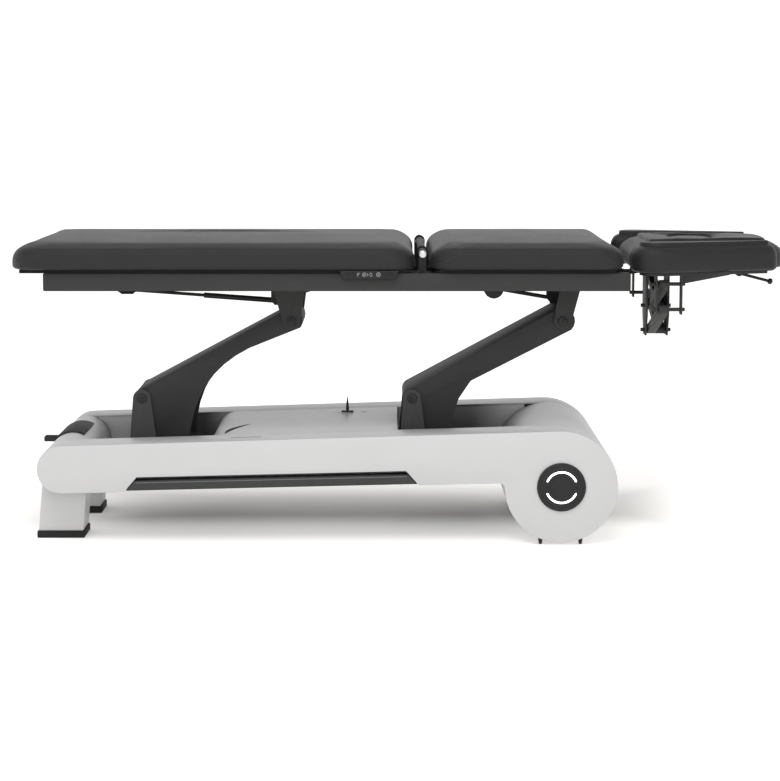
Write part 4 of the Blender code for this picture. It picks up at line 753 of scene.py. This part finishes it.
# %% Hub discs and light arcs
LIGHT_START = math.radians(21)
LIGHT_RADIUS, LIGHT_HALF = 0.0406, 0.0024
LIGHT_RISE, LIGHT_LIFT = 0.0016, 0.0001
LIGHT_STEPS = 60
AXIS_RADIUS, HUB_BEVEL, HUB_CHAMFER = 0.0005, 0.001, 0.003
GROOVE_RADIUS, GROOVE_HALF, GROOVE_DEPTH = 0.0555, 0.001, 0.0008
RECESS_RADIUS, RECESS_WALL, RECESS_DEPTH = 0.030, 0.001, 0.0012
SENSOR_RADIUS, SENSOR_PLACE = 0.0028, LIGHT_RADIUS * 0.95
SENSOR_PROFILE = ((0.0002, 0), (SENSOR_RADIUS, 0), (SENSOR_RADIUS * 0.8, 0.0005), (0.0002, 0.0006))


def light_arc(name, centre, face, out, start, end):
    """Rounded bar on an arc: the cross-section is a flat half-oval, drawn in at both ends."""
    t = np.linspace(start, end, LIGHT_STEPS)
    across = np.linspace(0, math.pi, 9)
    taper = np.sqrt(np.clip(1 - np.abs(np.linspace(-1, 1, LIGHT_STEPS)) ** 40, 0.02, 1))
    radius = LIGHT_RADIUS + LIGHT_HALF * np.cos(across)[None] * taper[:, None]
    lift = LIGHT_RISE * np.sin(across)[None] * taper[:, None] + LIGHT_LIFT
    x = centre[0] + radius * np.cos(t)[:, None]
    z = centre[2] + radius * np.sin(t)[:, None]
    return grid_mesh(name, np.stack([x, face + out * lift, z], -1))


for side, out in (("near", -1), ("far", 1)):
    low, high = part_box("hub_disc_" + side)
    centre = ((low.x + high.x) / 2, 0.0, (low.z + high.z) / 2)
    back, face = (high.y, low.y) if out < 0 else (low.y, high.y)
    radius, depth = (high.x - low.x) / 2, high.y - low.y
    profile = [(AXIS_RADIUS, 0), (radius, 0), (radius, depth * 0.5), (radius - HUB_BEVEL, depth * 0.85),
               (radius - HUB_CHAMFER, depth), (GROOVE_RADIUS + GROOVE_HALF, depth),
               (GROOVE_RADIUS, depth - GROOVE_DEPTH), (GROOVE_RADIUS - GROOVE_HALF, depth),
               (RECESS_RADIUS, depth), (RECESS_RADIUS - RECESS_WALL, depth - RECESS_DEPTH),
               (AXIS_RADIUS, depth - RECESS_DEPTH)]
    disc = turned("hub", profile, (centre[0], back, centre[2]), (0, out, 0), 96)
    show("hub_" + side, disc, "base", "hub_disc_" + side, slot="black_plastic")
    for end, place in (("left", -1), ("right", 1)):
        spot = (centre[0] + place * SENSOR_PLACE, face, centre[2])
        dot = turned("sensor", SENSOR_PROFILE, spot, (0, out, 0), 24)
        show(f"sensor_{end}_{side}", dot, "base", slot="black_plastic", look=FINISHES["sensor_black_and_painted_slot_shade"])
    for stem, start in (("upper", LIGHT_START), ("lower", math.pi + LIGHT_START)):
        node = f"light_arc_{stem}_{side}"
        arc = light_arc(node, centre, face, out, start, start + math.pi - 2 * LIGHT_START)
        show("glow_" + node, arc, "base", node, slot="light_guide")
print("hub discs and light arcs made")

# %% [markdown]
# ## Strips along a path
# Printed signs, slots and edge beads are all narrow strips. A black slot strip is painted shade, and a pale
# bead is a painted highlight. Each could be cut into its part with a Boolean, but on a touch panel or a thin
# cover a strip a fraction of a millimetre high looks the same and leaves the frame alone. One helper carries
# a flat section along any path, and its width may change on the way.

# %% Strip helpers
JOINED_ANGLE = math.radians(40)
DROP_FROM = 2.0


def strip(path, normal, width, height):
    """Bar of rectangular section carried along path[m, 3]. At each point it spans the width across the path,
    one number or one for each point, and rises by the height along the normal."""
    path = np.asarray(path, float)
    normal = np.asarray(normal, float)
    across = np.cross(normal, np.gradient(path, axis=0))
    across /= np.linalg.norm(across, axis=1, keepdims=True)
    across *= np.broadcast_to(np.asarray(width, float) / 2, len(path))[:, None]
    left, right = path - across, path + across
    rise = normal * height
    return grid_mesh("strip", np.stack([left, right, right + rise, left + rise], 1))


def joined(name, meshes):
    """Several meshes as one."""
    bm = bmesh.new()
    for mesh in meshes:
        bm.from_mesh(mesh)
        bpy.data.meshes.remove(mesh)
    whole = bpy.data.meshes.new(name)
    bm.to_mesh(whole)
    bm.free()
    whole.shade_smooth()
    whole.set_sharp_from_angle(angle=JOINED_ANGLE)
    return whole


def drop_to(node, x, y):
    """Height of a CAD node's top above the point x, y."""
    mesh = nodes[node].data
    tree = BVHTree.FromPolygons([v.co for v in mesh.vertices], [f.vertices for f in mesh.polygons])
    return tree.ray_cast(Vector((x, y, DROP_FROM)), Vector((0, 0, -1)))[0].z


print("strip helpers ready")

# %% [markdown]
# ## Touch panel
# The panel on the near rail is a matte housing with a glossy face and a row of small light signs. The signs
# are plain ones: bars for the height, a ring with a dot, two arrow heads and a ring with a plus. They are
# raised by a fifth of a millimetre, so that they stay crisp from close by, where a painted pattern would
# blur.

# %% Panel face and signs
panel_low, panel_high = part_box("control_panel")
FACE_MARGIN, FACE_TAPER, FACE_ROUND = 0.0085, 0.010, 0.0025
FACE_BELOW, FACE_ABOVE = 0.0035, 0.0015
FACE_RISE = 0.0010
FACE_PROFILE = ((0.0, -0.0004), (0.0, 0.0005), (0.0004, 0.0009), (0.0014, FACE_RISE))
SIGN_LINE, SIGN_RISE, SIGN_UP = 0.0010, 0.0002, 0.001
MILLIMETRE = 0.001
panel_front = panel_low.y
face_left, face_right = panel_low.x + FACE_MARGIN, panel_high.x - FACE_MARGIN
face_low, face_high = panel_low.z + FACE_BELOW, panel_high.z - FACE_ABOVE
face_corners = [(face_left + FACE_TAPER, face_low), (face_right - FACE_TAPER, face_low),
                (face_right, face_high), (face_left, face_high)]


def panel_ring(inset, out):
    """The outline of the panel's face, moved in by inset and out from the housing."""
    flat = rounded_ring(face_corners, [FACE_ROUND] * 4, inset, 0.0, 6, 12)
    return np.column_stack([flat[:, 0], np.full(len(flat), panel_front - out), flat[:, 1]])


face_rings = [panel_ring(inset, out) for inset, out in FACE_PROFILE]
show("panel_face", grid_mesh("panel_face", face_rings), "top_frame", slot="panel_gloss")


def sign(points):
    """Line on the panel face through points (x, z) in millimetres from the panel's middle."""
    x, z = (np.asarray(points, float) * MILLIMETRE).T
    middle_x = (panel_low.x + panel_high.x) / 2
    middle_z = (panel_low.z + panel_high.z) / 2 + SIGN_UP
    path = np.column_stack([middle_x + x, np.full(len(x), panel_front - FACE_RISE), middle_z + z])
    return strip(path, (0, -1, 0), SIGN_LINE, SIGN_RISE)


def sign_ring(x, radius):
    """Circle on the panel face, round a point x to the side of the panel's middle."""
    t = np.linspace(0, 2 * math.pi, 41)
    return sign(np.column_stack([x + radius * np.cos(t), radius * np.sin(t)]))


signs = [sign([(-31, z), (-24 - cut, z)]) for z, cut in ((3.6, 0), (0.0, 2), (-3.6, 4))]
signs += [sign_ring(-12.5, 4.6), sign_ring(-12.5, 1.0), sign([(-3.5, -4), (-3.5, 4)])]
signs += [sign([(1, 0.8), (4.5, 4.4), (8, 0.8)]), sign([(1, -1.2), (4.5, -4.8), (8, -1.2)])]
signs += [sign_ring(24, 5.0), sign([(21.4, 0), (26.6, 0)]), sign([(24, -2.6), (24, 2.6)])]
print_look = FINISHES["panel_print"]
show("panel_signs", joined("panel_signs", signs), "top_frame", slot="light_guide", look=print_look)
print("touch panel with", len(signs), "strokes")

# %% [markdown]
# ## Details of the deck
# The deck between the arms carries a pointed release pin, a crescent slot for the hand and a few small
# marks, and the near cover's rim has a slit. The two slots are black strips, painted shade where the real
# slots are dark inside. The deck slopes, so each strip takes its height from the CAD surface. A level strip
# would float at one end and sink at the other.

# %% Deck slot, marks and pin
CRESCENT_FROM, CRESCENT_TO = (-0.480, -0.182), (-0.4205, -0.030)
CRESCENT_BOW, CRESCENT_WIDTH, CRESCENT_STEPS = 0.014, 0.015, 33
DECK_LEFT, DECK_RIGHT, DECK_Y = -0.46, -0.06, -0.1
MARKS, MARK_WIDTH, MARK_STEPS = ((-0.186, 0.006), (-0.119, 0.014), (-0.198, 0.003)), 0.005, 3
RIM_FROM, RIM_TO, RIM_Y = -0.459, -0.378, -0.247
RIM_WIDTH, RIM_STEPS = 0.004, 9
STRIP_SINK, STRIP_RISE = 0.0002, 0.0005
PIN_PROFILE = ((0.0003, 0.0), (0.0030, 0.0), (0.0046, 0.10), (0.0040, 0.32), (0.0024, 0.70), (0.0009, 0.97),
               (0.0003, 1.0))
UP = (0, 0, 1)
deck_left, deck_right = drop_to("deck_cover", DECK_LEFT, DECK_Y), drop_to("deck_cover", DECK_RIGHT, DECK_Y)


def deck_height(x):
    """The sloping deck's height at x, on the straight line between two places on it."""
    return deck_left + (deck_right - deck_left) * (x - DECK_LEFT) / (DECK_RIGHT - DECK_LEFT)


t = np.linspace(0.0, 1.0, CRESCENT_STEPS)
x = CRESCENT_FROM[0] + (CRESCENT_TO[0] - CRESCENT_FROM[0]) * t - CRESCENT_BOW * np.sin(math.pi * t)
y = CRESCENT_FROM[1] + (CRESCENT_TO[1] - CRESCENT_FROM[1]) * t
z = [drop_to("deck_cover", *spot) - STRIP_SINK for spot in zip(x, y)]
width = CRESCENT_WIDTH * np.sin(math.pi * np.clip(t, 0.03, 0.97)) ** 0.8
# The crescent slot is a black strip on the deck: painted shade where the real slot is dark inside.
slots = [strip(np.column_stack([x, y, z]), UP, width, STRIP_RISE)]
pin_low, pin_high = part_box("deck_lever")
pin_y = (pin_low.y + pin_high.y) / 2
for start, length in MARKS:
    x = np.linspace(start, start + length, MARK_STEPS)
    mark = np.column_stack([x, np.full(MARK_STEPS, pin_y), deck_height(x) - STRIP_SINK])
    slots.append(strip(mark, UP, MARK_WIDTH, STRIP_RISE))
show("deck_slots", joined("deck_slots", slots), "base", slot="black_plastic", look=FINISHES["sensor_black_and_painted_slot_shade"])

# The slit on the near cover's rim is a black strip: painted shade of the gap there.
x = np.linspace(RIM_FROM, RIM_TO, RIM_STEPS)
rim_left, rim_right = (drop_to("side_cover_near", end, RIM_Y) for end in (RIM_FROM, RIM_TO))
z = np.linspace(rim_left, rim_right, RIM_STEPS) - STRIP_SINK
width = RIM_WIDTH * np.sin(math.pi * np.linspace(0.05, 0.95, RIM_STEPS)) ** 0.3
rim_slot = strip(np.column_stack([x, np.full(RIM_STEPS, RIM_Y), z]), UP, width, STRIP_RISE)
show("rim_slot", rim_slot, "base", slot="black_plastic", look=FINISHES["sensor_black_and_painted_slot_shade"])

tall = pin_high.z - pin_low.z
pin_profile = [(radius, share * tall) for radius, share in PIN_PROFILE]
pin = turned("release_pin", pin_profile, ((pin_low.x + pin_high.x) / 2, pin_y, pin_low.z), UP, 32)
show("release_pin", pin, "deck_lever", "deck_lever", slot="dark_steel")
print("deck details made")

# %% [markdown]
# ## Highlight beads on the foot bars
# The foot bar under each side has a paler bead along its upper edge: a painted highlight where the rounded
# edge catches the light. It could be a stripe in the bar's finish, but a thin raised strip also catches the
# light, and it moves with the bar.

# %% Highlight beads on the foot bars
BAR_SLOPE = math.tan(math.radians(1.35))
BEAD_END, BEAD_DROP = 0.027, 0.0045
BEAD_WIDTH, BEAD_RISE, BEAD_STEPS = 0.0022, 0.0008, 5
for side, out in (("near", -1), ("far", 1)):
    low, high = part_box("kick_bar_" + side)
    face = low.y if out < 0 else high.y
    bar_height = high.z - low.z - BAR_SLOPE * (high.x - low.x)
    x = np.linspace(low.x + BEAD_END, high.x - BEAD_END, BEAD_STEPS)
    z = low.z + BAR_SLOPE * (x - low.x) + bar_height - BEAD_DROP
    path = np.column_stack([x, np.full(BEAD_STEPS, face - out * STRIP_SINK), z])
    # The bead's pale grey is a painted highlight along the bar's upper edge.
    bead = strip(path, (0, out, 0), BEAD_WIDTH, BEAD_RISE)
    show("foot_bar_highlight_bead_" + side, bead, "kick_bar_" + side, slot="black_plastic", look=FINISHES["kick_painted_highlight"])
print("foot bar beads made")

# %% [markdown]
# ## Screws
# Screws are small, but a joint without them looks unfinished from close by. A Boolean could cut the socket,
# but here a screw head is a turned cap whose inner rings change from round to hexagonal.

# %% Screws
SCREW_ROWS = np.array([(1.25, 0.0, 0), (1.25, 0.15, 0), (1.02, 0.18, 0), (1.0, 0.75, 0), (0.86, 1.0, 0),
                       (0.60, 1.0, 1), (0.57, 0.45, 1), (0.05, 0.40, 1)])
PIVOT_SCREW, BOARD_SCREW = (0.0060, 0.0040), (0.0045, 0.0022)
LOWER_PIVOT, UPPER_PIVOT = (0.023, 0.024), (0.030, 0.024)
BOARD_SCREWS = {"leg_section": (-0.93, -0.55, -0.12), "back_section": (0.14, 0.34, 0.52)}
BOARD_SCREW_Y, BOARD_GAP = 0.12, 0.0003


def socket_screw(centre, direction, radius, height):
    """Cap screw: rings of a turned cap, where the radius of the socket's rings follows a hexagon,
    cos(30 deg) / cos(a - 30 deg) within each sixth of the turn. A row of SCREW_ROWS has the shares of the
    radius and the height, and 1 where the ring is hexagonal."""
    direction = np.asarray(direction, float)
    turn, around = circle(direction, 36)
    hexagon = math.cos(math.pi / 6) / np.cos(turn % (math.pi / 3) - math.pi / 6)
    wide, high, is_socket = SCREW_ROWS.T[..., None]
    reach = radius * wide * np.where(is_socket > 0, hexagon[None], 1.0)
    rings = reach[..., None] * around[None] + (high * height)[..., None] * direction
    return grid_mesh("screw", rings + np.asarray(centre, float))


def screw_set(name, body, spots, direction, size, slot="dark_steel"):
    """One piece with a screw of the size (radius, height) at each spot. Gives back their number."""
    heads = [socket_screw(spot, direction, *size) for spot in spots]
    show(name, joined(name, heads), body, slot=slot)
    return len(heads)


count = 0
for end in ("foot", "head"):
    arm = end + "_arm"
    low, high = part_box(arm)
    lower = (low.x + LOWER_PIVOT[0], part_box("tower_" + end)[1].z - LOWER_PIVOT[1])
    upper = (high.x - UPPER_PIVOT[0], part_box("bracket_" + end)[0].z + UPPER_PIVOT[1])
    for side, out in (("near", -1), ("far", 1)):
        edge = low.y if out < 0 else high.y
        spots = [(x, edge, z) for x, z in (lower, upper)]
        count += screw_set(f"pivot_screws_{arm}_{side}", arm, spots, (0, out, 0), PIVOT_SCREW)

board_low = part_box("rail_near")[1].z + BOARD_GAP
for body, along in BOARD_SCREWS.items():
    spots = [(x, y, board_low) for x in along for y in (-BOARD_SCREW_Y, BOARD_SCREW_Y)]
    count += screw_set("board_screws_" + body, body, spots, (0, 0, -1), BOARD_SCREW, "bright_steel")
print("screws:", count)

# %% [markdown]
# ## Caps and plugs
# The rails are open tubes, so each end gets a plastic plug, and the ends of the hinge tube between the
# cushions get polished caps. They could be part of the tubes, but they have another finish, so each is a
# piece of its own.

# %% Hinge caps and rail plugs
HINGE_BESIDE, HINGE_BELOW = 0.017, 0.011
CAP_PROFILE = ((0.0003, -0.0005), (0.0100, -0.0005), (0.0100, 0.0015), (0.0085, 0.0033), (0.0050, 0.0042),
               (0.0003, 0.0045))
RAIL_CORNER = 0.004
RAIL_PLUG = ((0.0035, -0.012), (0.0035, -0.0002), (0.0004, 0.0), (0.0004, 0.0016), (0.0022, 0.0028),
             (0.006, 0.0030))
hinge_low, hinge_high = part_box("hinge_carrier")
hinge_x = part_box("leg_pad")[1].x + HINGE_BESIDE
hinge_z = hinge_high.z - HINGE_BELOW
for side, out, edge in (("near", -1, hinge_low.y), ("far", 1, hinge_high.y)):
    cap = turned("hinge_cap", CAP_PROFILE, (hinge_x, edge, hinge_z), (0, out, 0), 40)
    show("hinge_cap_" + side, cap, "top_frame", slot="bright_steel")

for side in ("near", "far"):
    low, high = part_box("rail_" + side)
    corners = [(low.y, low.z), (high.y, low.z), (high.y, high.z), (low.y, high.z)]
    for end, x, out in (("foot", low.x, -1), ("head", high.x, 1)):
        rings = []
        for inset, step in RAIL_PLUG:
            flat = rounded_ring(corners, [RAIL_CORNER] * 4, inset, 0.0, 6, 4)
            rings.append(np.column_stack([np.full(len(flat), x + out * step), flat]))
        show(f"rail_plug_{side}_{end}", grid_mesh("plug", rings), "top_frame", slot="black_plastic")
print("hinge caps and rail plugs made")

# %% [markdown]
# ## Floor and surround
# The photograph is a cut-out on white with a soft shadow under the base. A pale floor that runs to a white
# surrounding gives that without a visible horizon: far from the table the floor glows a little, so that it
# meets the sky at the same white. In front of, behind and beside the base the glow is painted light, which
# lightens the shadow under the base and shapes its edges.

# %% Floor and surround
FLOOR_HALF = 30.0
FLOOR_CORNERS = ((-1, -1), (1, -1), (1, 1), (-1, 1))
GLOW_AWAY, GLOW_FRONT, GLOW_BACK, GLOW_BESIDE = (0.5, 1.6), (-0.116, 0.116), (0.28, 0.55), (0.60, 0.85)
FRONT_SHARE, BACK_SHARE, BESIDE_SHARE = 0.72, 0.75, 0.9
SKY_LEVEL, SKY_DIM, SKY_RAMP = 1.05, 0.45, (0.10, 0.95)
floor_mesh = bpy.data.meshes.new("floor")
floor_mesh.from_pydata([(x * FLOOR_HALF, y * FLOOR_HALF, 0) for x, y in FLOOR_CORNERS], [], [(0, 1, 2, 3)])
floor = bpy.data.objects.new("floor", floor_mesh)
bpy.context.scene.collection.objects.link(floor)
floor_look, floor_shader, floor_where = finish("pale_floor", Roughness=0.9, Emission_Strength=0.45)
away = floor_where.add("ShaderNodeVectorMath", {"operation": "LENGTH"}, {0: floor_where}, 1)
# Painted light: the floor's glow in front of, behind and beside the base lightens the shadow under it.
front = 1 - floor_where.axis("Y").smooth(*GLOW_FRONT)
back = floor_where.axis("Y").smooth(*GLOW_BACK)
beside = floor_where.axis("X").smooth(*GLOW_BESIDE)
glow = away.maths("MAXIMUM", away.smooth(*GLOW_AWAY), front * FRONT_SHARE + back * BACK_SHARE)
glow = glow.maths("MAXIMUM", glow, beside * BESIDE_SHARE)
feed(floor_shader, "Base Color", floor_where.noise(2.0).between((0.915, 0.900, 0.87), (0.925, 0.910, 0.88)))
feed(floor_shader, "Emission Color", glow.between((0.0, 0.0, 0.0), (1.0, 1.0, 1.0)))
floor_mesh.materials.append(floor_look)

world = bpy.data.worlds.new("surround")
world.use_nodes = True
sky = world.node_tree
ray = Wire(sky, sky.nodes.new("ShaderNodeTexCoord").outputs["Generated"])
dimmer = ray.axis("Z").smooth(*SKY_RAMP)
sky.links.new((SKY_LEVEL - SKY_DIM * dimmer).socket, sky.nodes["Background"].inputs["Strength"])
sky.nodes["Background"].inputs["Color"].default_value = (1.0, 1.0, 1.0, 1.0)
bpy.context.scene.world = world
bpy.context.scene.view_settings.view_transform = "Standard"
print("floor and surround made")

# %% [markdown]
# ## Lights
# A broad light, high in front, throws the shadow backwards under the base, a lower one fills the sides, and
# one behind puts the sheen on the cushions' tops. One strong sun would be simpler, but its shadow would have
# a hard edge.


# %% Lights
def softbox(name, spot, target, width, length, power):
    """A rectangular light at spot that faces target."""
    lamp = bpy.data.lights.new(name, "AREA")
    lamp.shape = "RECTANGLE"
    lamp.size, lamp.size_y = width, length
    lamp.energy = power
    item = bpy.data.objects.new(name, lamp)
    item.location = spot
    way = np.asarray(target, float) - np.asarray(spot, float)
    item.rotation_mode = "QUATERNION"
    item.rotation_quaternion = Vector(way).to_track_quat("-Z", "Y")
    bpy.context.scene.collection.objects.link(item)


softbox("key", (-0.6, -2.4, 3.7), (0.0, 0.0, 0.2), 3.0, 2.0, 82)
softbox("front", (0.5, -4.6, 1.7), (0.0, 0.0, 0.2), 3.0, 1.2, 18)
softbox("back", (0.3, 3.6, 2.7), (0.0, 0.0, 0.6), 3.2, 1.2, 7)
print("three lights made")

# %% [markdown]
# ## Camera
# The camera stands where the perspective of the photograph puts it, looking a little down. The picture is
# shifted in the frame instead of turning the camera further, so that upright edges stay nearly upright.

# %% Camera
CAMERA_SPOT = (-0.0504, -5.3242, 1.1514)
CAMERA_DROP = math.radians(6.0)
LENS, SENSOR = 90.12, 36.0
FRAME_SHIFT = (0.0051, -0.1046)
lens = bpy.data.cameras.new("camera")
lens.sensor_width = SENSOR
lens.sensor_fit = "HORIZONTAL"
lens.lens = LENS
lens.shift_x, lens.shift_y = FRAME_SHIFT
camera = bpy.data.objects.new("camera", lens)
camera.location = CAMERA_SPOT
camera.rotation_euler = (math.pi / 2 - CAMERA_DROP, 0, 0)
bpy.context.scene.collection.objects.link(camera)
bpy.context.scene.camera = camera
print("camera placed at", CAMERA_SPOT)
